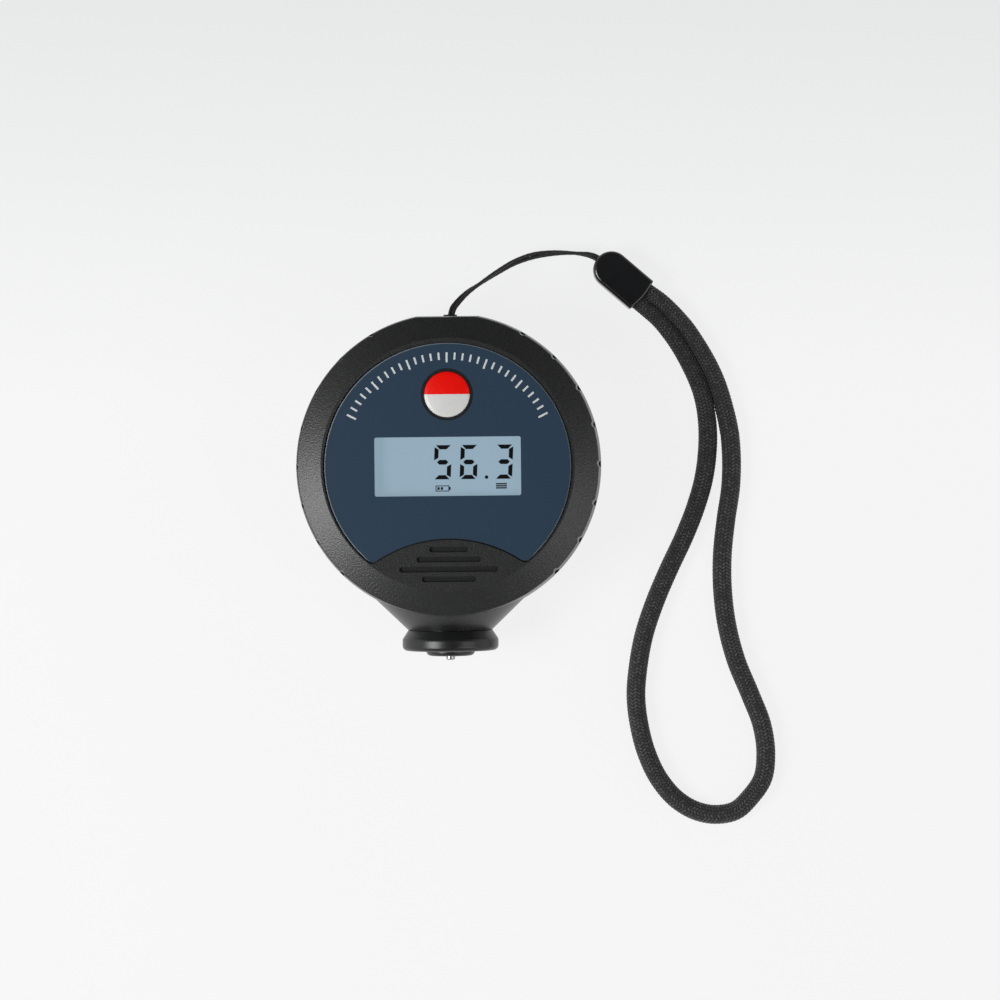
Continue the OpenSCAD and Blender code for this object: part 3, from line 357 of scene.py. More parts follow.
# Thin cord: two strands side by side from the post in the case to the crimp, each laid up of plies
CORD_PLIES = 3
PLY_SIDES = 4
PLY_RELIEF = 0.06
PLY_TURNS_PER_MM = 0.22
CORD_RING_STEP = 0.2


def cord_strand(side):
    """One strand's points from the middle of the bight, wound about the route."""
    route = np.array(CORD_ROUTE, dtype=float)
    points = [(CORD_EYE[0] + CORD_BIGHT_END[0], CORD_BIGHT_END[1], CORD_EYE[1])]
    points += [(CORD_EYE[0] + side * x, y, CORD_EYE[1]) for x, y in reversed(CORD_BIGHT)]
    for i, middle in enumerate(route):
        ahead = route[min(i + 1, len(route) - 1)] - route[max(i - 1, 0)]
        level = np.cross(ahead, UP)
        level /= np.linalg.norm(level)
        turn = math.radians(CORD_TURNS[i])
        points.append(middle + side * CORD_SPACING / 2 * (math.cos(turn) * level + math.sin(turn) * UP))
    return points


# A strand's UV map counts turns round it across and millimetres along
cords = []
for cord_name, cord_side in (("strap_cord_front", 1), ("strap_cord_back", -1)):
    cord_line = smooth_route(cord_strand(cord_side))
    cord_run = along(cord_line)[-1]
    cord_rings = int(cord_run / CORD_RING_STEP) + 1
    ring_at = np.linspace(0, cord_run, cord_rings)
    cord_angles = 2 * np.pi * np.arange(CORD_PLIES * PLY_SIDES) / (CORD_PLIES * PLY_SIDES)
    ply_phase = CORD_PLIES * (cord_angles[None, :] - 2 * np.pi * PLY_TURNS_PER_MM * ring_at[:, None])
    cord_r = CORD_D / 2 * (1 - PLY_RELIEF * (0.5 - 0.5 * np.cos(ply_phase)))
    strand = tube_mesh(cord_name, cord_line, np.repeat(ring_at[:, None], len(cord_angles), axis=1),
                       cord_angles, cord_r)
    scale_uv(strand, CORD_PLIES * PLY_SIDES, 1 / CORD_RING_STEP)
    cords.append((strand, cord_line, cord_run))

# Crimp: the solid with a wider chamfer along the bowed edge of its top at the mouth
CRIMP_T = 5.6
CRIMP_MOUTH = Vector(BRAID_MOUTH[:2])
CRIMP_TURN = math.radians(-41)
CRIMP_AHEAD = Vector((math.cos(CRIMP_TURN), math.sin(CRIMP_TURN)))
CRIMP_CHAMFER = 0.55
CRIMP_EASE = 0.12
EDGE_NEAR = 0.05


def over_mouth(at):
    """Whether a point of the crimp lies on the edge of its top over the mouth."""
    return at.z > CRIMP_T - EDGE_NEAR and (at.xy - CRIMP_MOUTH).dot(CRIMP_AHEAD) > -EDGE_NEAR


crimp = merged_copy("strap_ferrule", "strap_crimp")
bevel_where(crimp, over_mouth, CRIMP_CHAMFER, segments=2)
ease_edges(crimp, CRIMP_EASE)
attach(crimp, "case")
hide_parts("strap_ferrule")


for strand, cord_line, cord_run in cords:
    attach(strand, "case")
    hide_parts("strap_cord")
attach(strap_loop, "case")
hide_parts("strap_braid")


# Materials of what shows

# Black ABS from a spark-eroded mould: satin, with a pebbled grain that sparkles in side light.
# The cone of the neck and the thumb grooves are left smooth from the mould, so they are glossier.
# The real grain is about 0.1 mm and is drawn at 0.34 mm to show.
CASE_GRAIN = 0.34
NECK_R = (33.1, 33.6)
NECK_Y = (-24.0, -26.0)
GROOVE_Z, GROOVE_Z_REACH = 29.4, 0.4
GROOVE_R = 26.2
abs_black, tree, shader, place = new_material("black_abs_spark_eroded", {"IOR": 1.53})
grain = add(tree, "ShaderNodeTexNoise", {"Scale": per_mm(CASE_GRAIN), "Detail": 1.0, "Roughness": 0.5},
            {"Vector": place["Object"]})
level = add(tree, "ShaderNodeVectorMath", {1: (1, 1, 0)}, {0: place["Object"]}, operation="MULTIPLY")
radius = add(tree, "ShaderNodeVectorMath", links={0: level.outputs["Vector"]}, operation="LENGTH")
outside = add(tree, "ShaderNodeMapRange", {"From Min": NECK_R[0] * MM, "From Max": NECK_R[1] * MM},
              {"Value": radius.outputs["Value"]})
axes = add(tree, "ShaderNodeSeparateXYZ", links={"Vector": place["Object"]})
probe_end = add(tree, "ShaderNodeMapRange", {"From Min": NECK_Y[0] * MM, "From Max": NECK_Y[1] * MM},
                {"Value": axes.outputs["Y"]})
neck = add(tree, "ShaderNodeMath", links={0: outside.outputs["Result"], 1: probe_end.outputs["Result"]},
           operation="MULTIPLY")
groove_z = add(tree, "ShaderNodeMath", {1: GROOVE_Z * MM, 2: GROOVE_Z_REACH * MM}, {0: axes.outputs["Z"]},
               operation="COMPARE")
inside = add(tree, "ShaderNodeMath", {1: GROOVE_R * MM}, {0: radius.outputs["Value"]},
             operation="LESS_THAN")
groove = add(tree, "ShaderNodeMath", links={0: groove_z.outputs["Value"], 1: inside.outputs["Value"]},
             operation="MULTIPLY")
smooth = add(tree, "ShaderNodeMath", links={0: neck.outputs["Value"], 1: groove.outputs["Value"]},
             operation="MAXIMUM")
speck = add(tree, "ShaderNodeMapRange", {"From Min": 0.35, "From Max": 0.68},
            {"Value": grain.outputs["Fac"]})
tone = add(tree, values={6: linear("#131415"), 7: linear("#222324")}, links={0: speck.outputs["Result"]},
           **BLEND)
tree.links.new(tone.outputs[2], shader.inputs["Base Color"])
gloss = add(tree, "ShaderNodeMapRange", {"To Min": 0.4, "To Max": 0.32},
            {"Value": smooth.outputs["Value"]})
tree.links.new(gloss.outputs["Result"], shader.inputs["Roughness"])
pebble = add(tree, "ShaderNodeMapRange", {"To Min": 1.0, "To Max": 0.06},
             {"Value": smooth.outputs["Value"]})
bump = add(tree, "ShaderNodeBump", {"Distance": 0.06 * MM},
           {"Height": grain.outputs["Fac"], "Strength": pebble.outputs["Result"]})
tree.links.new(bump.outputs["Normal"], shader.inputs["Normal"])

# Polyester film printed an even slate blue, with a fine satin tooth, near-black round the key's hole and a
# pale cut edge that is partly a painted highlight. The real tooth is about 0.05 mm and is drawn at 0.5 mm
# to show.
FILM_TOOTH = 0.5
KEY_AT = (0, 15.4, 29.7)
KEY_RING_R = 5.68
film_blue, tree, shader, place = new_material("printed_polyester_film", {"IOR": 1.57, "Roughness": 0.3})
tooth = add(tree, "ShaderNodeTexNoise", {"Scale": per_mm(FILM_TOOTH), "Detail": 3.0},
            {"Vector": place["Object"]})
blue = add(tree, values={6: linear("#25384a"), 7: linear("#293c4f")}, links={0: tooth.outputs["Fac"]},
           **BLEND)
# Within KEY_RING_R of the key's middle the film is coloured near-black, a ring round the key's hole
from_key = add(tree, "ShaderNodeVectorMath", {1: Vector(KEY_AT) * MM}, {0: place["Object"]},
               operation="DISTANCE")
key_ring = add(tree, "ShaderNodeMath", {1: KEY_RING_R * MM}, {0: from_key.outputs["Value"]},
               operation="LESS_THAN")
near_black_round_key = add(tree, values={7: linear("#0c0d0f")}, links={0: key_ring.outputs["Value"], 6: blue.outputs[2]},
          **BLEND)
# Faces tilting away from up, the bevelled cut edge, are pale: partly the film's bare edge, partly a painted
# highlight along it
facing = add(tree, "ShaderNodeNewGeometry")
upward = add(tree, "ShaderNodeSeparateXYZ", links={"Vector": facing.outputs["True Normal"]})
edge = add(tree, "ShaderNodeMapRange", {"From Min": 0.97, "From Max": 0.9}, {"Value": upward.outputs["Z"]})
film = add(tree, values={7: linear("#8d98a1")}, links={0: edge.outputs["Result"], 6: near_black_round_key.outputs[2]},
           **BLEND)
tree.links.new(film.outputs[2], shader.inputs["Base Color"])
bump = add(tree, "ShaderNodeBump", {"Distance": 0.004 * MM}, {"Height": tooth.outputs["Fac"]})
tree.links.new(bump.outputs["Normal"], shader.inputs["Normal"])

# Clear PMMA window: polished, so it only adds a faint reflection over the display
window_clear = mottled("clear_pmma_window", "#2a2d2f", "#33373a", 8, (0.03, 0.07), 3, 0.0005,
                       {"IOR": 1.49, "Alpha": 0.04})

# Display glass with its polariser: pale grey-blue with a faint film mottle, glowing as if lit from behind
# Its glow stands for the backlight and is partly painted light: set strong over a dark base, it keeps the
# recessed display evenly pale, with no shade from its frame
display_glass, tree, shader, place = new_material(
    "display_polariser", {"Roughness": 0.25, "IOR": 1.5, "Emission Strength": 0.88})
mottle = add(tree, "ShaderNodeTexNoise", {"Scale": per_mm(6), "Detail": 3.0}, {"Vector": place["Object"]})
for socket, darker, paler in (("Base Color", "#46525c", "#49555f"),
                              ("Emission Color", "#94acbc", "#97afbf")):
    tone = add(tree, values={6: linear(darker), 7: linear(paler)}, links={0: mottle.outputs["Fac"]},
               **BLEND)
    tree.links.new(tone.outputs[2], shader.inputs[socket])

# Switched display segments: a dense blue-black with a little of the pale ground in it
segment_black = mottled("switched_display_segment", "#08090b", "#0f1114", 1.5, (0.3, 0.4), 0.4, 0.0005,
                        {"IOR": 1.5, "Specular IOR Level": 0.1})

# Screen print in light grey ink: matt, slightly thin in places
print_grey = mottled("screen_print_grey", "#bcc2c4", "#d3d7d7", 1.2, (0.5, 0.65), 0.15, 0.002, {"IOR": 1.5})

# Satin ABS of the two-colour key: clean bright colour with a soft moulded surface
key_red = mottled("red_satin_abs", "#e40902", "#ec0e04", 3, (0.34, 0.42), 0.8, 0.002,
                  {"IOR": 1.53, "Specular IOR Level": 0.2})
key_white = mottled("white_satin_abs", "#cbccca", "#d6d7d4", 3, (0.34, 0.42), 0.8, 0.002, {"IOR": 1.53})

# Acetal foot ring and nose: turned, semi-gloss black with faint tool marks round the axis.
# The real marks are about 0.1 mm apart and are drawn at 0.25 mm to show.
TOOL_MARK = 0.25
MARK_STRETCH = (0.02, 1, 0.02)
foot_black, tree, shader, place = new_material("black_turned_acetal", {"IOR": 1.48})
turned = add(tree, "ShaderNodeMapping", {"Scale": MARK_STRETCH}, {"Vector": place["Object"]})
marks = add(tree, "ShaderNodeTexNoise", {"Scale": per_mm(TOOL_MARK), "Detail": 3.0},
            {"Vector": turned.outputs["Vector"]})
blotch = add(tree, "ShaderNodeTexNoise", {"Scale": per_mm(2.5), "Detail": 3.0}, {"Vector": place["Object"]})
tone = add(tree, values={6: linear("#121314"), 7: linear("#1d1e1f")}, links={0: blotch.outputs["Fac"]},
           **BLEND)
tree.links.new(tone.outputs[2], shader.inputs["Base Color"])
gloss = add(tree, "ShaderNodeMapRange", {"To Min": 0.3, "To Max": 0.38}, {"Value": blotch.outputs["Fac"]})
tree.links.new(gloss.outputs["Result"], shader.inputs["Roughness"])
bump = add(tree, "ShaderNodeBump", {"Distance": 0.006 * MM}, {"Height": marks.outputs["Fac"]})
tree.links.new(bump.outputs["Normal"], shader.inputs["Normal"])

# Satin-gloss ABS of the crimp: deep black, almost polished
crimp_black = mottled("black_satin_abs", "#131415", "#1a1b1c", 2.5, (0.17, 0.24), 0.35, 0.002,
                      {"IOR": 1.53})

# Braided polyester: dull black yarn of fine filaments, its tone differing from stitch to stitch.
# Each stitch is darker at its ends and sides as painted shade between stitches, which leaves its middle as
# a painted highlight.
FILAMENT = 0.03456
braid_yarn, tree, shader, place = new_material(
    "braided_polyester", {"Roughness": 0.72, "IOR": 1.5, "Sheen Weight": 0.25, "Sheen Roughness": 0.4})
stitch = add(tree, "ShaderNodeSeparateXYZ", links={"Vector": place["UV"]})
cell = add(tree, "ShaderNodeVectorMath", links={0: place["UV"]}, operation="FLOOR")
chance = add(tree, "ShaderNodeTexWhiteNoise", links={"Vector": cell.outputs["Vector"]},
             noise_dimensions="2D")
from_ends = add(tree, "ShaderNodeMath", {1: 0.5}, {0: stitch.outputs["Y"]}, operation="PINGPONG")
from_sides = add(tree, "ShaderNodeMath", {1: 0.5}, {0: stitch.outputs["X"]}, operation="PINGPONG")
end_shade_mask = add(tree, "ShaderNodeMapRange", {"From Min": 0.08, "From Max": 0.42},
            {"Value": from_ends.outputs["Value"]}, interpolation_type="SMOOTHSTEP")
side_shade_mask = add(tree, "ShaderNodeMapRange", {"From Min": 0.0, "From Max": 0.3},
               {"Value": from_sides.outputs["Value"]}, interpolation_type="SMOOTHSTEP")
top = add(tree, "ShaderNodeMath", links={0: end_shade_mask.outputs["Result"], 1: side_shade_mask.outputs["Result"]},
          operation="MULTIPLY")
filament = add(tree, "ShaderNodeTexWave",
               {"Scale": per_wave(FILAMENT / STITCH_PITCH), "Distortion": 1.5, "Detail": 2.0},
               {"Vector": place["UV"]}, bands_direction="Y")
yarn = add(tree, values={6: linear("#28282a"), 7: linear("#545456")}, links={0: chance.outputs["Value"]},
           **BLEND)
# The darker tone towards each stitch's ends and sides is painted shade; the lighter middle is a painted
# highlight
tone = add(tree, values={6: linear("#0e0e0f")}, links={0: top.outputs["Value"], 7: yarn.outputs[2]},
           **BLEND)
tree.links.new(tone.outputs[2], shader.inputs["Base Color"])
bump = add(tree, "ShaderNodeBump", {"Strength": 0.5, "Distance": 0.03 * MM},
           {"Height": filament.outputs["Fac"]})
tree.links.new(bump.outputs["Normal"], shader.inputs["Normal"])

# Laid nylon cord: smooth black with a slight silky sheen and fine marks where its threads lie
CORD_THREAD = 1 / 6
cord_nylon, tree, shader, place = new_material(
    "laid_nylon_cord", {"IOR": 1.53, "Sheen Weight": 0.15, "Sheen Roughness": 0.3})
threads = add(tree, "ShaderNodeTexNoise", {"Scale": 1 / CORD_THREAD, "Detail": 3.0},
              {"Vector": place["UV"]})
tone = add(tree, values={6: linear("#151516"), 7: linear("#242425")}, links={0: threads.outputs["Fac"]},
           **BLEND)
tree.links.new(tone.outputs[2], shader.inputs["Base Color"])
gloss = add(tree, "ShaderNodeMapRange", {"To Min": 0.45, "To Max": 0.6}, {"Value": threads.outputs["Fac"]})
tree.links.new(gloss.outputs["Result"], shader.inputs["Roughness"])
bump = add(tree, "ShaderNodeBump", {"Distance": 0.02 * MM}, {"Height": threads.outputs["Fac"]})
tree.links.new(bump.outputs["Normal"], shader.inputs["Normal"])

# Materials of the inside and the back

# Nickel plate on spring steel: bright and a little uneven
steel_plated = mottled("nickel_plated_steel", "#a9acae", "#c3c6c8", 1.5, (0.2, 0.36), 0.12, 0.003,
                       {"Metallic": 1.0})

# Ground tool steel of the tip: bright, with a fine ground tooth
steel_hard = mottled("ground_tool_steel", "#94989b", "#b6babc", 0.8, (0.18, 0.32), 0.08, 0.004,
                     {"Metallic": 1.0})

# Zinc plate on the screws: grey and a little dull
screw_zinc = mottled("zinc_plated_screw", "#7d8083", "#9a9da0", 0.8, (0.28, 0.42), 0.1, 0.004,
                     {"Metallic": 1.0})

# Annealed iron of the core: dark grey, dull from the furnace
soft_iron = mottled("annealed_iron_core", "#6b6e70", "#808386", 1.2, (0.35, 0.5), 0.15, 0.004,
                    {"Metallic": 1.0})

# Nickel plate on turned brass: bright and slightly warm
barrel_nickel = mottled("nickel_plated_brass", "#aeaea8", "#c8c8c2", 1.6, (0.22, 0.38), 0.12, 0.004,
                        {"Metallic": 1.0})

# White polycarbonate round and behind the display: clean, with an even satin
white_moulded = mottled("white_polycarbonate", "#d9dad6", "#e8e8e4", 4, (0.4, 0.52), 0.5, 0.004,
                        {"IOR": 1.58})

# Ivory nylon of the socket: warm white and satin
ivory_nylon = mottled("ivory_nylon_socket", "#ddd8c4", "#e9e5d5", 2, (0.42, 0.55), 0.3, 0.004,
                      {"IOR": 1.53})

# Silicone contact strip: dull dark grey with a fine mottle
strip_rubber = mottled("silicone_contact_strip", "#33363a", "#44484c", 0.6, (0.6, 0.75), 0.1, 0.004,
                       {"IOR": 1.41})

# Moulded epoxy of the chip: matt black with a fine grain
chip_epoxy = mottled("moulded_epoxy", "#141516", "#1e1f20", 0.8, (0.5, 0.65), 0.1, 0.006, {"IOR": 1.55})

# Glass-filled nylon: dull black, faintly mottled by the glass
black_nylon = mottled("black_glass_nylon", "#1b1c1d", "#262728", 1.5, (0.45, 0.6), 0.2, 0.006,
                      {"IOR": 1.53})

# PVC of the lead: dark grey with a soft, dull skin
lead_pvc = mottled("grey_pvc_lead", "#242628", "#303235", 1.2, (0.45, 0.6), 0.2, 0.004, {"IOR": 1.53})

# Solder mask over copper: green gloss with a lighter green where tracks run beneath
TRACK_UNIT = 20.0
TRACK_LENGTH, TRACK_SPACING, TRACK_W = 6.4, 2.2, 0.24
board_green, tree, shader, place = new_material("green_solder_mask", {"IOR": 1.52, "Roughness": 0.32})
tracks = add(tree, "ShaderNodeTexBrick", {
    "Scale": per_mm(TRACK_UNIT), "Color1": linear("#155233"), "Color2": linear("#185a39"),
    "Mortar": linear("#2c7a52"), "Mortar Size": TRACK_W / TRACK_UNIT,
    "Brick Width": TRACK_LENGTH / TRACK_UNIT, "Row Height": TRACK_SPACING / TRACK_UNIT,
}, {"Vector": place["Object"]})
tree.links.new(tracks.outputs["Color"], shader.inputs["Base Color"])
bump = add(tree, "ShaderNodeBump", {"Distance": 0.02 * MM}, {"Height": tracks.outputs["Fac"]})
tree.links.new(bump.outputs["Normal"], shader.inputs["Normal"])

# Enamelled copper winding: turns of wire side by side round the probe, bright along each turn with painted
# shade between turns.
# The real wire is about 0.2 mm thick and is drawn about 1.3 mm wide to show.
WIRE_DRAWN = 1.2566
winding_copper, tree, shader, place = new_material(
    "enamelled_copper_wire", {"Metallic": 1.0, "Roughness": 0.3})
turns = add(tree, "ShaderNodeTexWave",
            {"Scale": per_wave(WIRE_DRAWN * MM), "Distortion": 0.4, "Detail": 1.0},
            {"Vector": place["Object"]}, bands_direction="Y")
# Darker bands between the turns are painted shade in the grooves between wires
tone = add(tree, values={6: linear("#6e3315"), 7: linear("#b8672f")}, links={0: turns.outputs["Fac"]},
           **BLEND)
tree.links.new(tone.outputs[2], shader.inputs["Base Color"])
bump = add(tree, "ShaderNodeBump", {"Distance": 0.05 * MM}, {"Height": turns.outputs["Fac"]})
tree.links.new(bump.outputs["Normal"], shader.inputs["Normal"])

# Shrink sleeve of a cell: glossy slate film with a plain pale grey band at each end
SLEEVE_BAND_X = (13.8, 14.0)
cell_sleeve, tree, shader, place = new_material(
    "printed_cell_sleeve", {"IOR": 1.5, "Roughness": 0.28, "Coat Weight": 0.3})
axes = add(tree, "ShaderNodeSeparateXYZ", links={"Vector": place["Object"]})
from_middle = add(tree, "ShaderNodeMath", links={0: axes.outputs["X"]}, operation="ABSOLUTE")
band = add(tree, "ShaderNodeMapRange",
           {"From Min": SLEEVE_BAND_X[0] * MM, "From Max": SLEEVE_BAND_X[1] * MM},
           {"Value": from_middle.outputs["Value"]})
cloud = add(tree, "ShaderNodeTexNoise", {"Scale": per_mm(2), "Detail": 3.0}, {"Vector": place["Object"]})
slate = add(tree, values={6: linear("#33414d"), 7: linear("#3d4c59")}, links={0: cloud.outputs["Fac"]},
            **BLEND)
tone = add(tree, values={7: linear("#aeb3b6")}, links={0: band.outputs["Result"], 6: slate.outputs[2]},
           **BLEND)
tree.links.new(tone.outputs[2], shader.inputs["Base Color"])

# Which solid wears which finish
CAD_FINISH = {
    abs_black: ["front_shell", "rear_shell", "battery_lid"],
    film_blue: ["faceplate"],
    window_clear: ["display_window"],
    display_glass: ["lcd_panel"],
    key_red: ["button_red_half"],
    key_white: ["button_cap"],
    foot_black: ["foot_ring", "probe_sleeve"],
    steel_plated: ["battery_springs", "battery_plates", "board_screws"],
    steel_hard: ["probe_tip"],
    screw_zinc: ["case_screws"],
    soft_iron: ["probe_core"],
    barrel_nickel: ["probe_barrel"],
    white_moulded: ["lcd_frame", "lcd_backlight"],
    ivory_nylon: ["probe_socket"],
    strip_rubber: ["zebra_strips"],
    chip_epoxy: ["main_chip"],
    black_nylon: ["tact_switch", "tact_plunger", "coil_bobbin", "probe_cap"],
    board_green: ["circuit_board"],
    winding_copper: ["coil_winding"],
    cell_sleeve: ["battery_cell_1", "battery_cell_2"],
}


def wear(piece, finish):
    """Gives a piece its finish."""
    if not piece.material_slots:
        piece.data.materials.append(finish)
    for taken in piece.material_slots:
        taken.material = finish


for finish, names in CAD_FINISH.items():
    for name in names:
        wear(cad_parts[name], finish)
wear(strap_loop, braid_yarn)
wear(crimp, crimp_black)
for strand, cord_line, cord_run in cords:
    wear(strand, cord_nylon)


# Thin plates and their copies, for the display and the face
CORNER_SEGMENTS = 3


def placed_copy(piece, seat):
    """A copy of a piece with its own mesh, moved by a matrix in millimetres."""
    twin = piece.copy()
    twin.data = piece.data.copy()
    shift = seat.copy()
    shift.translation *= MM
    twin.data.transform(shift)
    scene.collection.objects.link(twin)
    return twin


def join(pieces, name):
    """Joins pieces to one, named, with its normals outward."""
    begin()
    for piece in pieces:
        piece.select_set(True)
    bpy.context.view_layer.objects.active = pieces[0]
    if len(pieces) > 1:
        bpy.ops.object.join()
    made = bpy.context.object
    made.name = name
    bpy.ops.object.mode_set(mode="EDIT")
    bpy.ops.mesh.select_all(action="SELECT")
    bpy.ops.mesh.normals_make_consistent(inside=False)
    bpy.ops.object.mode_set(mode="OBJECT")
    return made


def thin_plate(width, height, thick, taper=1.0, corner=0.0):
    """A thin plate on the ground plane: its lower edge narrowed by taper, its corners rounded."""
    begin()
    bpy.ops.mesh.primitive_plane_add(size=1)
    made = bpy.context.object
    bpy.ops.object.mode_set(mode="EDIT")
    bpy.ops.transform.resize(value=(width * MM, height * MM, 1))
    bpy.ops.object.mode_set(mode="OBJECT")
    for point in made.data.vertices:
        point.select = point.co.y < 0
    for edge in made.data.edges:
        edge.select = all(made.data.vertices[i].co.y < 0 for i in edge.vertices)
    for face in made.data.polygons:
        face.select = False
    bpy.ops.object.mode_set(mode="EDIT")
    bpy.ops.mesh.select_mode(type="EDGE")
    if taper != 1.0:
        bpy.ops.transform.resize(value=(taper, 1, 1))
    bpy.ops.mesh.select_mode(type="VERT")
    bpy.ops.mesh.select_all(action="SELECT")
    if corner:
        bpy.ops.mesh.bevel(offset=corner * MM, affect="VERTICES", segments=CORNER_SEGMENTS)
        bpy.ops.mesh.select_all(action="SELECT")
    bpy.ops.mesh.extrude_region_move(TRANSFORM_OT_translate={"value": (0, 0, thick * MM)})
    bpy.ops.object.mode_set(mode="OBJECT")
    return made


# Display: three seven-segment digits, a point, a battery sign and a layer sign on the glass
DISPLAY_TOP = 27.1
INK_LIFT = 0.01
DIGIT_W = 3.8
DIGIT_H = 7.5
SEGMENT_T = 0.92
SEGMENT_THICK = 0.02
SEGMENT_CORNER = 0.05
FLAT_BAR = (3.28, 0.46)
UPRIGHT_BAR = (2.92, 0.62)
MIDDLE_BAR = (2.54, 0.57)
MIDDLE_T = 1.04
DIGIT_SLANT = 2.7
DIGIT_Y = 0.6
DIGITS = [(-1.13, "afgcd"), (4.61, "afgecd"), (12.33, "abgcd")]
POINT_AT = (8.45, -2.75)
POINT_R = 0.38
POINT_CORNER = 0.9 * POINT_R

flat_bar = thin_plate(FLAT_BAR[0], SEGMENT_T, SEGMENT_THICK, taper=FLAT_BAR[1], corner=SEGMENT_CORNER)
upright_bar = thin_plate(UPRIGHT_BAR[0], SEGMENT_T, SEGMENT_THICK, taper=UPRIGHT_BAR[1],
                         corner=SEGMENT_CORNER)
half_bar = thin_plate(MIDDLE_BAR[0], MIDDLE_T / 2, SEGMENT_THICK, taper=MIDDLE_BAR[1])


def spot(x, y, turn=0.0):
    """A place on the display's plane, in millimetres, turned in degrees."""
    return Matrix.Translation((x, y, 0)) @ Matrix.Rotation(math.radians(turn), 4, "Z")


upright_x = DIGIT_W / 2 - SEGMENT_T / 2
SEGMENTS = {
    "a": [(flat_bar, spot(0, DIGIT_H / 2 - SEGMENT_T / 2))],
    "d": [(flat_bar, spot(0, -DIGIT_H / 2 + SEGMENT_T / 2, 180))],
    "g": [(half_bar, spot(0, -MIDDLE_T / 4)), (half_bar, spot(0, MIDDLE_T / 4, 180))],
    "f": [(upright_bar, spot(-upright_x, DIGIT_H / 4, 90))],
    "e": [(upright_bar, spot(-upright_x, -DIGIT_H / 4, 90))],
    "b": [(upright_bar, spot(upright_x, DIGIT_H / 4, -90))],
    "c": [(upright_bar, spot(upright_x, -DIGIT_H / 4, -90))],
}
lean = Matrix.Identity(4)
lean[0][1] = math.tan(math.radians(DIGIT_SLANT))
ink_z = DISPLAY_TOP + INK_LIFT
strokes = []
for digit_x, lit_segments in DIGITS:
    stand = Matrix.Translation((digit_x, DIGIT_Y, ink_z)) @ lean
    for letter in lit_segments:
        strokes += [placed_copy(bar, stand @ seat) for bar, seat in SEGMENTS[letter]]
dot = thin_plate(2 * POINT_R, 2 * POINT_R, SEGMENT_THICK, corner=POINT_CORNER)
strokes.append(placed_copy(dot, Matrix.Translation((POINT_AT[0], POINT_AT[1], ink_z))))
for pattern in (flat_bar, upright_bar, half_bar, dot):
    bpy.data.objects.remove(pattern)
digits = join(strokes, "display_digits")

# Battery sign: an outline, two blocks and a nub. Layer sign: three short bars
BATTERY_AT = (-1.25, -5.15)
BATTERY_SIZE = (3.0, 1.3)
BATTERY_BLOCK_W = 0.5
BATTERY_BLOCK_X = (-0.85, -0.1)
BATTERY_NUB_W = 0.3
LAYER_AT = (11.7, -4.7)
LAYER_SIZE = (2.4, 0.3)
LAYER_STEP = 0.45
SIGN_LINE = 0.18
outline_x = (BATTERY_SIZE[0] - SIGN_LINE) / 2
outline_y = (BATTERY_SIZE[1] - SIGN_LINE) / 2
nub_x = (BATTERY_SIZE[0] + BATTERY_NUB_W) / 2
bar = thin_plate(BATTERY_SIZE[0], SIGN_LINE, SEGMENT_THICK)
post = thin_plate(SIGN_LINE, BATTERY_SIZE[1], SEGMENT_THICK)
block = thin_plate(BATTERY_BLOCK_W, BATTERY_SIZE[1] - 4 * SIGN_LINE, SEGMENT_THICK)
nub = thin_plate(BATTERY_NUB_W, BATTERY_SIZE[1] / 2, SEGMENT_THICK)
layer = thin_plate(LAYER_SIZE[0], LAYER_SIZE[1], SEGMENT_THICK, corner=SEGMENT_CORNER)
signs = []
for shape, x, y in (
    (bar, 0, outline_y), (bar, 0, -outline_y), (post, -outline_x, 0), (post, outline_x, 0),
    (block, BATTERY_BLOCK_X[0], 0), (block, BATTERY_BLOCK_X[1], 0), (nub, nub_x, 0),
):
    signs.append(placed_copy(shape, Matrix.Translation((BATTERY_AT[0] + x, BATTERY_AT[1] + y, ink_z))))
for y in (-LAYER_STEP, 0.0, LAYER_STEP):
    signs.append(placed_copy(layer, Matrix.Translation((LAYER_AT[0], LAYER_AT[1] + y, ink_z))))
for pattern in (bar, post, block, nub, layer):
    bpy.data.objects.remove(pattern)
display_signs = join(signs, "display_signs")
for piece in (digits, display_signs):
    wear(piece, segment_black)
    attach(piece, "case")

# Face: an arc of plain graduation marks printed over the key
FACE_TOP = 29.7
TICK_FROM, TICK_TO, TICK_COUNT = -63.0, 63.0, 31
TICK_IN, TICK_OUT, TICK_LONG_IN = 23.0, 24.6, 22.4
TICK_LONG_EVERY = 5
TICK_W = 0.42
TICK_THICK = 0.015
TICK_CORNER = 0.06
TICK_LIFT = 0.002
ticks = []
for inner_r, is_long in ((TICK_LONG_IN, True), (TICK_IN, False)):
    tick = thin_plate(TICK_W, TICK_OUT - inner_r, TICK_THICK, corner=TICK_CORNER)
    for i in range(TICK_COUNT):
        if (i % TICK_LONG_EVERY == 0) == is_long:
            turn = TICK_FROM + (TICK_TO - TICK_FROM) * i / (TICK_COUNT - 1)
            seat = (Matrix.Rotation(math.radians(-turn), 4, "Z")
                    @ Matrix.Translation((0, (TICK_OUT + inner_r) / 2, FACE_TOP + TICK_LIFT)))
            ticks.append(placed_copy(tick, seat))
    bpy.data.objects.remove(tick)
graduation = join(ticks, "face_graduation")
wear(graduation, print_grey)
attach(graduation, "case")

